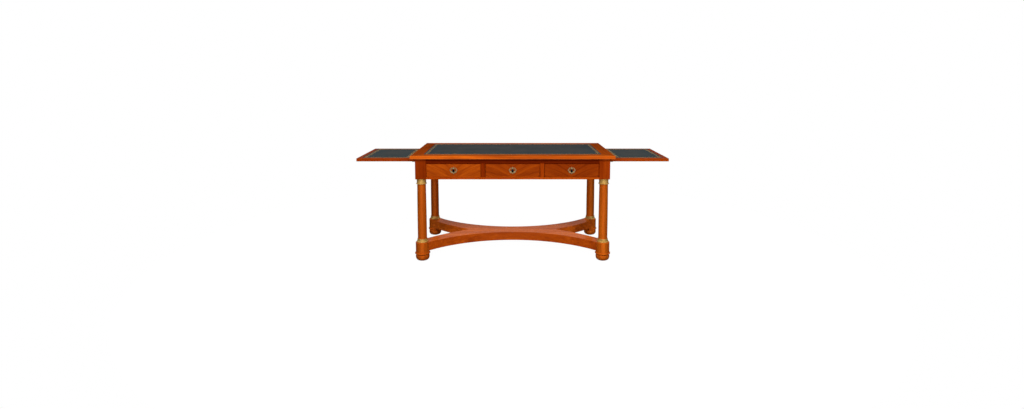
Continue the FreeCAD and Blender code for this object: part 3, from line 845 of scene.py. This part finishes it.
@dataclass
class TooledLeather:
    """A leather lining with gilt lines round it."""

    name: str
    body: str
    support: str
    insets: Pair = (0.012, 0.023)
    ends: Pair = (0.0, 0.0)
    tone: float = 0.0
    edge: Rounding = Rounding(0.0006, 2)
    use_bands: Pair = (0.030, 0.110)
    line_width: float = 0.0016
    line_rise: float = 0.0001
    pitch: float = 0.012
    lozenge: Pair = (0.005, 0.0035)
    lozenge_radii: Pair = (0.5, 0.4)
    lozenge_sides: int = 4

    def build(self) -> None:
        """Make the hide and its tooling."""
        node = f"{self.name}_leather"
        low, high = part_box(node)
        mesh = block(low, high)
        soften(mesh, edges_where(mesh, lambda point: point.z > high.z - TOUCH), self.edge)
        self.mark_use(mesh)
        hide = put(mesh, f"{self.name}_hide", self.body, LEATHER, node, low.x, self.tone)
        low = Vector((low.x + self.ends[0], low.y, high.z))
        high.x -= self.ends[1]
        mesh = bmesh.new()
        for inset in self.insets:
            size = (high.x - low.x - 2 * inset, high.y - low.y - 2 * inset)
            add_frame(mesh, Matrix.Translation((low + high) / 2), size, self.line_width, self.line_rise)
        middle = (sum(self.insets) + self.line_width) / 2
        self.add_chain(mesh, low + Vector((middle, middle, 0.0)), high - Vector((middle, middle, 0.0)))
        put(mesh, f"{self.name}_tooling", self.body, GILDING)

    def add_chain(self, mesh: BMesh, low: Vector, high: Vector) -> None:
        """Add a chain of small lozenges midway between the lines.

        Args:
            mesh: the mesh to add to.
            low: the lowest corner of the chain.
            high: the highest corner of the chain.
        """
        length, width = self.lozenge
        reach = high - low
        turns = ((low, Vector((1, 0, 0))), (high, Vector((-1, 0, 0))),
                 (high, Vector((0, -1, 0))), (low, Vector((0, 1, 0))))
        for start, along in turns:
            size = Matrix.Diagonal((*(length if part else width for part in along.xy), 1.0, 1.0))
            run = along * abs(reach.dot(along))
            count = round(run.length / self.pitch)
            for number in range(count):
                spot = start + run * number / count + UP * self.line_rise / 2
                bmesh.ops.create_cone(mesh, cap_ends=True, segments=self.lozenge_sides,
                                      radius1=self.lozenge_radii[0], radius2=self.lozenge_radii[1],
                                      depth=self.line_rise, matrix=Matrix.Translation(spot) @ size)

    def mark_use(self, mesh: BMesh) -> None:
        """Mark where the hide is rubbed by use, away from a band round its edge.

        Args:
            mesh: the hide's mesh.
        """
        use = mesh.verts.layers.float.new("use")
        face = max(mesh.faces, key=lambda side: side.calc_center_median().z)
        for band in self.use_bands:
            bmesh.ops.inset_region(mesh, faces=[face], thickness=band, use_even_offset=True)
        for vert in face.verts:
            vert[use] = 1.0


@dataclass
class DeskTop:
    """The top: four mitred border boards round a tooled leather lining."""

    edge: Rounding = Rounding(0.006, 6)
    under_edge: Rounding = Rounding(0.003, 4)
    # The borders' upright and under faces are toned apart from their tops: painted light for the light that
    # falls on each.
    painted_edge_light: float = 0.6
    borders: tuple[tuple[str, Grain, Triple, float], ...] = (
        ("front", Grain.LENGTH, (0, -1, 0), 0.75), ("rear", Grain.LENGTH, (0, 1, 0), 1.0),
        ("left", Grain.DEPTH, (-1, 0, 0), 0.25), ("right", Grain.DEPTH, (1, 0, 0), 0.35))

    def build(self) -> None:
        """Make the border boards and the lining."""
        for board, (word, grain, way, tone) in enumerate(self.borders):
            node = f"top_border_{word}"
            outward = Vector(way)
            low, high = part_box(node)
            mesh = mitred_board(low, high, -outward)
            soften(mesh, rim_edges(mesh, outward, high.z), self.edge)
            soften(mesh, rim_edges(mesh, outward, low.z), self.under_edge)
            # Tops and edges toned apart: painted light.
            put(mesh, f"border_board_{word}", CARCASS, BORDER[grain], node, board,
                facing(UP, tone, self.painted_edge_light))
        TooledLeather("top", CARCASS, "top_panel").build()
        dress("top_panel", OAK[Grain.LENGTH])
        dress("top_screws", STEEL)


@dataclass
class Frieze:
    """The frame under the top: posts, rails and the uprights between the drawers."""

    post_edge: Rounding = Rounding(0.0015)
    rail_edge: Rounding = Rounding(0.0008)
    divider_width: float = 0.028
    rail_board: float = 5.5
    lock_rail_board: float = 10.5
    divider_board: float = 12.0
    # The lock rail is darkened as a painted shadow of the top's overhang.
    lock_rail_shadow_tone: float = -0.66
    post_tones: Tones = (
        ("front_left", -0.33), ("front_right", -0.2), ("rear_left", -0.1), ("rear_right", -0.05))
    rail_tones: Tones = (
        ("front_bottom_rail", 0.02), ("back_rail", 0.0), ("side_rail_left", -0.05),
        ("side_rail_right", 0.0))
    divider_tones: tuple[tuple[Side, float], ...] = ((Side.LEFT, -0.42), (Side.RIGHT, -0.1))
    inside: tuple[tuple[str, Grain], ...] = (
        ("slide_bed", Grain.LENGTH), ("slide_guides", Grain.LENGTH), ("drawer_runners", Grain.DEPTH),
        ("drawer_stops", Grain.LENGTH))

    def build(self) -> None:
        """Make the posts, rails and uprights, and dress what stands inside."""
        for board, (corner, tone) in enumerate(self.post_tones):
            node = f"post_{corner}"
            put(eased_block(*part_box(node), self.post_edge), f"corner_post_{corner}", CARCASS,
                FRIEZE[Grain.HEIGHT], node, board, tone)
        self.build_rails()
        self.build_dividers()
        for node, grain in self.inside:
            dress(node, OAK[grain])
        # The slide plates' dark brass is partly painted shade.
        dress("slide_plates", DULL_SHADED_BRASS)

    def build_rails(self) -> None:
        """Make the rails from shoulder to shoulder, the top one with the mortises that the bolts enter."""
        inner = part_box("post_rear_right")[0]
        for number, (node, tone) in enumerate(self.rail_tones):
            grain = Grain.DEPTH if node.startswith("side") else Grain.LENGTH
            axis = grain.value
            low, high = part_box(node)
            low[axis], high[axis] = -inner[axis], inner[axis]
            put(eased_block(low, high, self.rail_edge), f"frame_{node}", CARCASS, FRIEZE[grain], node,
                number + self.rail_board, tone)
        node = "front_top_rail"
        mesh = cad_copy(node)
        soften(mesh, [edge for edge in mesh.edges if edge.calc_length() > inner.x], self.rail_edge)
        # A painted shadow of the top's overhang darkens this rail.
        put(mesh, f"frame_{node}", CARCASS, FRIEZE[Grain.LENGTH], node, self.lock_rail_board,
            self.lock_rail_shadow_tone)

    def build_dividers(self) -> None:
        """Make the uprights, from the bottom rail to the top rail."""
        node = "drawer_dividers"
        outer_low, outer_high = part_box(node)
        half = self.divider_width / 2
        for side, tone in self.divider_tones:
            middle = side.value * (outer_high.x - half)
            low = Vector((middle - half, outer_low.y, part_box("front_bottom_rail")[1].z))
            high = Vector((middle + half, outer_high.y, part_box("front_top_rail")[0].z))
            put(eased_block(low, high, self.rail_edge), f"upright_{side.word}", CARCASS,
                FRIEZE[Grain.HEIGHT], node, self.divider_board + side.value, tone)


@dataclass
class Leg:
    """A leg: bun foot, socle, brass base, column and brass capital."""

    corner: str
    tone: float
    board: float
    socle_board: float = 0.5
    shaft_board: float = 0.25
    foot_height: float = 0.046
    foot_flat: float = 0.026
    foot_belly: float = 0.0504
    foot_neck: float = 0.040
    foot_spring: float = 0.00375
    belly_height: float = 0.030
    socle_radius: float = 0.0495
    ring_radius: float = 0.0556
    ring_low: float = 0.0485
    ring_height: float = 0.011
    shoulder: float = 0.006
    shaft_foot: float = 0.0331
    shaft_top: float = 0.0312
    swelling: float = 0.0004
    fit: float = 0.0002
    base_height: float = 0.026
    base_foot: float = 0.0425
    base_foot_height: float = 0.008
    base_round: float = 0.0028
    base_wall: float = 0.0034
    base_fillet: float = 0.001
    base_hollow: float = 0.003
    capital_wall: float = 0.0024
    capital_ring: float = 0.0044
    capital_ring_height: float = 0.0075
    capital_lip: float = 0.0032
    capital_lip_height: float = 0.005
    capital_flare: float = 0.0064
    foot_steps: tuple[int, int] = (10, 8)
    socle_steps: tuple[int, int] = (7, 8)
    shaft_steps: int = 12
    base_steps: tuple[int, int] = (6, 10)
    capital_steps: int = 7

    def __post_init__(self) -> None:
        """Take the leg's place and the heights of its joints from the CAD."""
        self.axis = leg_axis(self.corner)
        self.socle_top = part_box(f"socle_{self.corner}")[1].z
        self.capital_low, self.capital_top = (point.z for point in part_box("capitals"))

    def build(self) -> None:
        """Make the leg from the floor up."""
        self.build_foot()
        self.build_socle()
        self.build_shaft()
        self.build_base()
        self.build_capital()

    def build_foot(self) -> None:
        """Make the bun foot."""
        belly, top = self.foot_belly, self.foot_height
        profile = Profile((0.0, 0.0), (self.foot_flat, 0.0))
        profile.bend((belly, self.foot_spring), (belly, self.belly_height), self.foot_steps[0])
        profile.bend((belly, top), (self.foot_neck, top), self.foot_steps[1]).line((0.0, top))
        put(profile.turned(self.axis, TURNED_STEPS), f"foot_{self.corner}", CARCASS, TURNED, "bun_feet",
            self.board, self.tone)

    def build_socle(self) -> None:
        """Make the round socle with a bead round its foot."""
        bottom, top, radius, neck = self.foot_height, self.socle_top, self.socle_radius, self.foot_neck
        profile = Profile((0.0, bottom), (neck, bottom), (neck, self.ring_low), (radius, self.ring_low))
        profile.bead(self.ring_radius - radius, self.ring_low + self.ring_height, self.socle_steps[0])
        profile.line((radius, top - self.shoulder))
        profile.bend((radius, top), (radius - self.shoulder, top), self.socle_steps[1]).line((0.0, top))
        put(profile.turned(self.axis, FINE_STEPS), f"round_socle_{self.corner}", CARCASS, TURNED,
            f"socle_{self.corner}", self.board + self.socle_board, self.tone)

    def build_shaft(self) -> None:
        """Make the column's shaft with a slight swelling."""
        bottom, top, foot = self.socle_top, self.capital_top, self.shaft_foot
        base_top = bottom + self.base_height
        swell = (foot + self.swelling, (base_top + self.capital_low) / 2)
        profile = Profile((0.0, bottom), (foot, bottom), (foot, base_top))
        profile.bend(swell, (self.shaft_top, self.capital_low), self.shaft_steps)
        profile.line((self.shaft_top, top), (0.0, top))
        put(profile.turned(self.axis, TURNED_STEPS), f"shaft_{self.corner}", CARCASS, TURNED,
            f"column_{self.corner}", self.board + self.shaft_board, self.tone)

    def build_base(self) -> None:
        """Make the brass base: a rounded rim under a hollow flare."""
        bottom, top = self.socle_top, self.socle_top + self.base_height
        inner = self.shaft_foot + self.fit
        neck = inner + self.base_wall
        rim = self.base_foot - self.base_round
        rim_top = bottom + self.base_foot_height
        step = rim - self.base_fillet
        profile = Profile((inner, bottom), (rim, bottom)).bead(self.base_round, rim_top, self.base_steps[0])
        profile.line((step, rim_top), (step, rim_top + self.base_fillet))
        profile.bend((neck, rim_top + self.base_hollow), (neck, top), self.base_steps[1]).line((inner, top))
        put(profile.turned(self.axis, FINE_STEPS, closed=True), f"brass_base_{self.corner}", CARCASS, BRASS,
            "base_rings", self.axis.x)

    def build_capital(self) -> None:
        """Make the brass capital: a plain sleeve with a ring round its foot and a flared lip."""
        bottom, top, steps = self.capital_low, self.capital_top, self.capital_steps
        inner = self.shaft_top + self.fit
        outer = inner + self.capital_wall
        lip = outer + self.capital_lip
        lip_low = top - self.capital_lip_height
        profile = Profile((inner, bottom), (outer, bottom))
        profile.bead(self.capital_ring, bottom + self.capital_ring_height, steps)
        profile.line((outer, lip_low - self.capital_flare))
        profile.bend((outer, lip_low), (lip, lip_low), steps).line((lip, top), (inner, top))
        put(profile.turned(self.axis, FINE_STEPS, closed=True), f"brass_capital_{self.corner}", CARCASS,
            BRASS, "capitals", self.axis.x)


@dataclass
class Stretcher:
    """The flat stretcher: two bows glued back to back between the socles."""

    edge: Rounding = Rounding(0.0024, 4)
    socle_reach: float = 0.052
    # The bows' tops are toned lighter, a painted highlight for the sheen they reflect; the rear bow is
    # toned lighter than the front as painted light against the shade it stands in.
    painted_top_highlight: float = 0.94
    bows: tuple[tuple[str, float, float], ...] = (("front", 0.2, 30.0), ("rear", 0.75, 31.0))

    def build(self) -> None:
        """Make both bows with softened arrises, and dress their dowels."""
        for word, tone, board in self.bows:
            node = f"stretcher_{word}"
            mesh = cad_copy(node)
            soften(mesh, [edge for edge in crisp_edges(mesh) if self.shows(edge)], self.edge)
            # Tops and sides toned apart: painted highlight on the tops.
            put(mesh, f"bow_{word}", CARCASS, STRETCHER, node, board, facing(UP, self.painted_top_highlight, tone))
        dress("stretcher_dowels", OAK[Grain.LENGTH])

    def shows(self, edge: BMEdge) -> bool:
        """Whether an arris is open, away from the glue line and the socles.

        Args:
            edge: the arris.

        Returns:
            True if it is open.
        """
        leg = leg_axis("rear_right")
        points = [vert.co for vert in edge.verts]
        glued = all(abs(point.y) < TOUCH for point in points)
        away = [math.hypot(abs(point.x) - leg.x, abs(point.y) - leg.y) for point in points]
        return not glued and min(away) > self.socle_reach


@dataclass
class WritingSlide:
    """A leather-lined board that draws out of one end of the desk."""

    side: Side
    boards: Triple
    edge: Rounding = Rounding(0.003, 5)
    border: float = 0.034
    batten_edge: Rounding = Rounding(0.001, 2)
    batten_width: float = 0.020
    line_width: float = 0.0024
    line_end: float = 0.035
    leather_tone: float = 0.2

    def build(self) -> None:
        """Make the mitred edging, the stop batten and the lining."""
        body = f"slide_{self.side.word}"
        node = f"{body}_edging"
        low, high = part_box(node)
        board_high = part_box(f"{body}_board")[1]
        top = Vector((high.x, high.y, board_high.z))
        outward = Vector((self.side.value, 0.0, 0.0))
        strips = (("front", FRONT, Grain.LENGTH, (self.side.value,)),
                  ("rear", -FRONT, Grain.LENGTH, (self.side.value,)),
                  ("end", outward, Grain.DEPTH, (-1, 1)))
        for board, (word, way, grain, mitres) in zip(self.boards, strips):
            mesh = mitred_board(*edge_strip(low, top, way, self.border), -way, mitres)
            soften(mesh, rim_edges(mesh, way, low.z) + rim_edges(mesh, way, top.z), self.edge)
            put(mesh, f"{body}_{word}_strip", body, SLIDE[grain], node, board)
        start, finish = edge_strip(low, high, -outward, self.batten_width)
        start.yz = -board_high.y, top.z
        finish.y = board_high.y
        put(eased_block(start, finish, self.batten_edge), f"{body}_batten", body, OAK[Grain.DEPTH], node)
        dress(f"{body}_board", SLIDE[Grain.LENGTH])
        ends = (0.0, self.line_end) if self.side is Side.LEFT else (self.line_end, 0.0)
        TooledLeather(body, body, f"{body}_board", ends=ends, tone=self.leather_tone,
                      line_width=self.line_width).build()


@dataclass
class Drawer:
    """A frieze drawer with a matched veneer, a bead, a key plate and a lock."""

    word: str
    tone: float
    seed: float
    veneer_thickness: float = 0.002
    bead_width: float = 0.0035
    bead_rise: float = 0.0015
    bead_edge: Rounding = Rounding(0.0014, 4)
    ease: float = 0.0012
    # A painted shadow along the bead's top under the rail, and a painted highlight along its foot.
    painted_top_shadow: float = -0.6
    painted_foot_highlight: float = 0.3
    key_radius: float = 0.005
    key_slot: Pair = (0.0065, 0.0125)
    key_steps: int = 24
    plate_edge: Rounding = Rounding(0.0006)
    # Painted shade on the key plate's sides and edges.
    painted_rim_shade: float = -0.5

    def __post_init__(self) -> None:
        """Take the front's corners and the middle of the keyhole from the CAD."""
        self.body = f"drawer_{self.word}"
        self.node = f"{self.body}_front"
        self.low, self.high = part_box(self.node)
        self.low.x += self.ease
        self.high.x -= self.ease
        self.face = self.low.y + self.bead_rise
        self.ground = self.face + self.veneer_thickness
        plate_low, plate_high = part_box(f"{self.body}_escutcheon")
        self.key = (plate_low + plate_high) / 2

    def build(self) -> None:
        """Make the drawer's front, plate, box and lock."""
        put(self.holed_board(0.0, self.ground, self.high.y), f"{self.body}_ground", self.body,
            FRIEZE[Grain.LENGTH], self.node, self.key.x, self.tone)
        veneer = MatchedVeneer(f"veneer_{self.word}", "drawer_veneer", centre=self.key.x, seed=self.seed)
        put(self.holed_board(self.bead_width, self.face, self.ground), f"{self.body}_veneer", self.body,
            veneer, self.node, tone=self.tone)
        self.build_bead()
        self.build_plate()
        for word, finish in (("box", OAK[Grain.DEPTH]), ("bottom", OAK[Grain.LENGTH]), ("lock", STEEL),
                             ("bolt", STEEL)):
            dress(f"{self.body}_{word}", finish)

    def holed_board(self, margin: float, front: float, back: float) -> BMesh:
        """An upright board with a keyhole.

        Args:
            margin: how far its edges lie inside the drawer's front.
            front: where the board's face lies.
            back: where its back lies.

        Returns:
            The board's mesh.
        """
        mesh = bmesh.new()
        left, right = self.low.x + margin, self.high.x - margin
        foot, head = self.low.z + margin, self.high.z - margin
        places = ((left, foot), (right, foot), (right, head), (left, head))
        corners = [mesh.verts.new((x, front, z)) for x, z in places]
        edges = {mesh.edges.new((corners[i], corners[i - 1])) for i in range(len(corners))}
        place = Matrix.Translation((self.key.x, front, self.key.z)) @ UPRIGHT
        ring = bmesh.ops.create_circle(mesh, segments=self.key_steps, radius=self.key_radius,
                                       matrix=place)["verts"]
        width, reach = self.key_slot
        for vert in ring:
            if vert.co.z < self.key.z - self.key_radius / 2:
                vert.co.z -= reach - self.key_radius
                vert.co.x = self.key.x + max(-width / 2, min(width / 2, vert.co.x - self.key.x))
            edges.update(vert.link_edges)
        filled = bmesh.ops.triangle_fill(mesh, use_beauty=True, use_dissolve=False, edges=list(edges),
                                         normal=FRONT)["geom"]
        faces = [item for item in filled if isinstance(item, BMFace)]
        thicken(mesh, faces, FRONT * (front - back))
        return mesh

    def build_bead(self) -> None:
        """Make the bead round the drawer's front as a mitred frame with a rounded face."""
        mesh = bmesh.new()
        middle = (self.low + self.high) / 2
        middle.y = self.ground
        size = (self.high.x - self.low.x, self.high.z - self.low.z)
        add_frame(mesh, Matrix.Translation(middle) @ UPRIGHT, size, self.bead_width,
                  self.ground - self.low.y)
        front = edges_where(mesh, lambda point: point.y < self.low.y + TOUCH)
        soften(mesh, [edge for edge in front if edge.calc_face_angle() > CRISP_ANGLE], self.bead_edge)
        put(mesh, f"{self.body}_bead", self.body, FRIEZE[Grain.LENGTH], self.node, self.seed,
            self.bead_tone)

    def bead_tone(self, side: BMFace) -> float:
        """How dark a stretch of the bead is: a painted shadow above, under the rail, and a painted
        highlight below.

        Args:
            side: a face of the bead.

        Returns:
            The tone.
        """
        height = side.calc_center_median().z
        if height > self.high.z - self.bead_width:
            return self.painted_top_shadow
        return self.tone + self.painted_foot_highlight if height < self.low.z + self.bead_width else self.tone

    def build_plate(self) -> None:
        """Make the key plate with softened edges."""
        node = f"{self.body}_escutcheon"
        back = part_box(node)[1].y
        mesh = cad_copy(node)
        front = [edge for edge in crisp_edges(mesh) if all(vert.co.y < back - TOUCH for vert in edge.verts)]
        soften(mesh, front, self.plate_edge)
        brass = KeyBrass(f"key_brass_{self.word}", "brass", keyhole=(self.key.x, self.key.z))
        # The plate's sides carry painted shade.
        put(mesh, f"{self.body}_key_plate", self.body, brass, node, self.seed,
            facing(FRONT, 0.0, self.painted_rim_shade))


@dataclass(frozen=True)
class Softbox:
    """A square lamp that faces the desk, hidden from mirrors."""

    name: str
    place: Triple
    watts: float
    size: float

    def build(self, aim: Vector) -> None:
        """Place the lamp.

        Args:
            aim: the point that it faces.
        """
        light = bpy.data.lights.new(self.name, "AREA")
        light.shape = "SQUARE"
        light.size = self.size
        light.energy = self.watts
        lamp = bpy.data.objects.new(self.name, light)
        lamp.location = self.place
        lamp.rotation_euler = (aim - Vector(self.place)).to_track_quat("-Z", "Y").to_euler()
        lamp.visible_glossy = False
        bpy.context.scene.collection.objects.link(lamp)


@dataclass
class Studio:
    """The floor, the light and the camera at the photograph's place."""

    frame_width: int = 1024
    focal_pixels: float = 547.28
    shift_pixels: Pair = (-0.6, -70.32)
    camera_place: Triple = (0.0, -4.25606, 1.34321)
    camera_tilt: float = math.radians(6.0)
    sensor: float = 36.0
    fill: float = 0.1
    lamps: tuple[Softbox, ...] = (
        Softbox("high_left", (-1.0, -2.75, 3.05), 55.0, 0.9),
        Softbox("high_right", (1.1, -2.75, 3.05), 55.0, 0.9),
        Softbox("low_left", (-0.9, -2.9, 1.1), 18.0, 0.7),
        Softbox("low_right", (1.0, -2.9, 1.1), 18.0, 0.7),
        Softbox("high_back", (0.0, 3.4, 3.2), 35.0, 1.2),
        Softbox("low_back", (0.0, 3.4, 0.9), 24.0, 1.2),
        Softbox("end_left", (-3.4, 1.2, 0.9), 7.0, 1.2),
        Softbox("end_right", (3.4, 1.2, 0.9), 7.0, 1.2))
    aim: Triple = (0.0, 0.0, 0.5)
    mirror_heights: Pair = (0.17, 0.37)
    mirror_depths: Pair = (-0.70, -0.92)
    mirror_horizon: Pair = (0.04, -0.04)
    floor_mirrors: Pair = (0.06, 1.0)
    floor_paleness: float = 0.3
    floor_glow: float = 0.88
    floor_level: float = 1.12
    floor_radius: float = 2.6
    floor_steps: int = 128

    def build(self) -> None:
        """Set up the camera, the world, the lamps and the floor."""
        bpy.context.scene.view_settings.view_transform = "Standard"
        self.build_camera()
        self.build_world()
        for lamp in self.lamps:
            lamp.build(Vector(self.aim))
        self.build_floor()

    def build_camera(self) -> None:
        """Place the camera where the photograph was taken."""
        lens = bpy.data.cameras.new("camera")
        lens.sensor_width = self.sensor
        lens.lens = self.focal_pixels / self.frame_width * self.sensor
        lens.shift_x, lens.shift_y = (pixels / self.frame_width for pixels in self.shift_pixels)
        camera = bpy.data.objects.new("camera", lens)
        camera.location = self.camera_place
        camera.rotation_euler = (math.pi / 2 - self.camera_tilt, 0.0, 0.0)
        bpy.context.scene.collection.objects.link(camera)
        bpy.context.scene.camera = camera

    def build_world(self) -> None:
        """Make the surroundings: white to the eye, faint as light, and darker low down in mirrors."""
        world = bpy.data.worlds.new("studio")
        bpy.context.scene.world = world
        world.use_nodes = True
        nodes = Nodes(world.node_tree)
        rays = nodes.add("LightPath").outputs
        way = nodes.parts(nodes.add("TexCoord").outputs["Generated"])
        floor = nodes.span(way["Y"], self.mirror_depths, self.floor_mirrors)
        below = nodes.span(way["Z"], self.mirror_horizon, WHOLE)
        above = nodes.span(way["Z"], self.mirror_heights, WHOLE)
        bright = nodes.math("MULTIPLY_ADD", floor, below, above)
        mirrored = nodes.math("MAXIMUM", rays["Is Glossy Ray"], rays["Is Transmission Ray"])
        lit = nodes.choice(mirrored, self.fill, bright)
        seen = nodes.choice(rays["Is Camera Ray"], lit, 1.0)
        light = nodes.add("Background", {"Color": (1.0, 1.0, 1.0, 1.0), "Strength": seen})
        nodes.add("OutputWorld", {"Surface": light.outputs["Background"]})

    def build_floor(self) -> None:
        """Lay a round pale floor that is white to the eye and keeps the desk's shadow."""
        mesh = bmesh.new()
        bmesh.ops.create_circle(mesh, cap_ends=True, segments=self.floor_steps, radius=self.floor_radius)
        data = bpy.data.meshes.new("floor")
        mesh.to_mesh(data)
        mesh.free()
        floor = bpy.data.objects.new("floor", data)
        floor.visible_glossy = False
        bpy.context.scene.collection.objects.link(floor)
        shader = Shader("pale_floor")
        matt = shader.add("BsdfDiffuse", {"Color": (*(self.floor_paleness,) * 3, 1.0)})
        glow = shader.add("Emission", {"Strength": self.floor_level})
        share = shader.math("MULTIPLY", shader.add("LightPath").outputs["Is Camera Ray"], self.floor_glow)
        both = shader.add("MixShader", {"Fac": share, 1: matt.outputs["BSDF"], 2: glow.outputs["Emission"]})
        shader.add("OutputMaterial", {"Surface": both.outputs["Shader"]})
        data.materials.append(shader.material)


# Each leg's tone; the rear legs' tones are raised partly as painted light against the shade the desk casts
# over them.
LEG_LOOKS = (("front_left", 0.81, 20.0), ("front_right", 1.00, 21.0), ("rear_left", 0.84, 22.0),
             ("rear_right", 1.18, 23.0))
SLIDE_BOARDS = {Side.LEFT: (37.0, 38.0, 45.0), Side.RIGHT: (43.0, 44.0, 47.0)}
DRAWER_LOOKS = (("left", -0.04, 1.0), ("centre", -0.26, 2.0), ("right", -0.37, 3.0))


def main() -> None:
    """Build the desk's sub-assemblies in order, then the studio."""
    logging.basicConfig(level=logging.INFO, format="%(name)s: %(message)s")
    DeskTop().build()
    Frieze().build()
    for corner, tone, board in LEG_LOOKS:
        Leg(corner, tone, board).build()
    Stretcher().build()
    for side, boards in SLIDE_BOARDS.items():
        WritingSlide(side, boards).build()
    for word, tone, seed in DRAWER_LOOKS:
        Drawer(word, tone, seed).build()
    Studio().build()


if __name__ == "__main__":
    main()
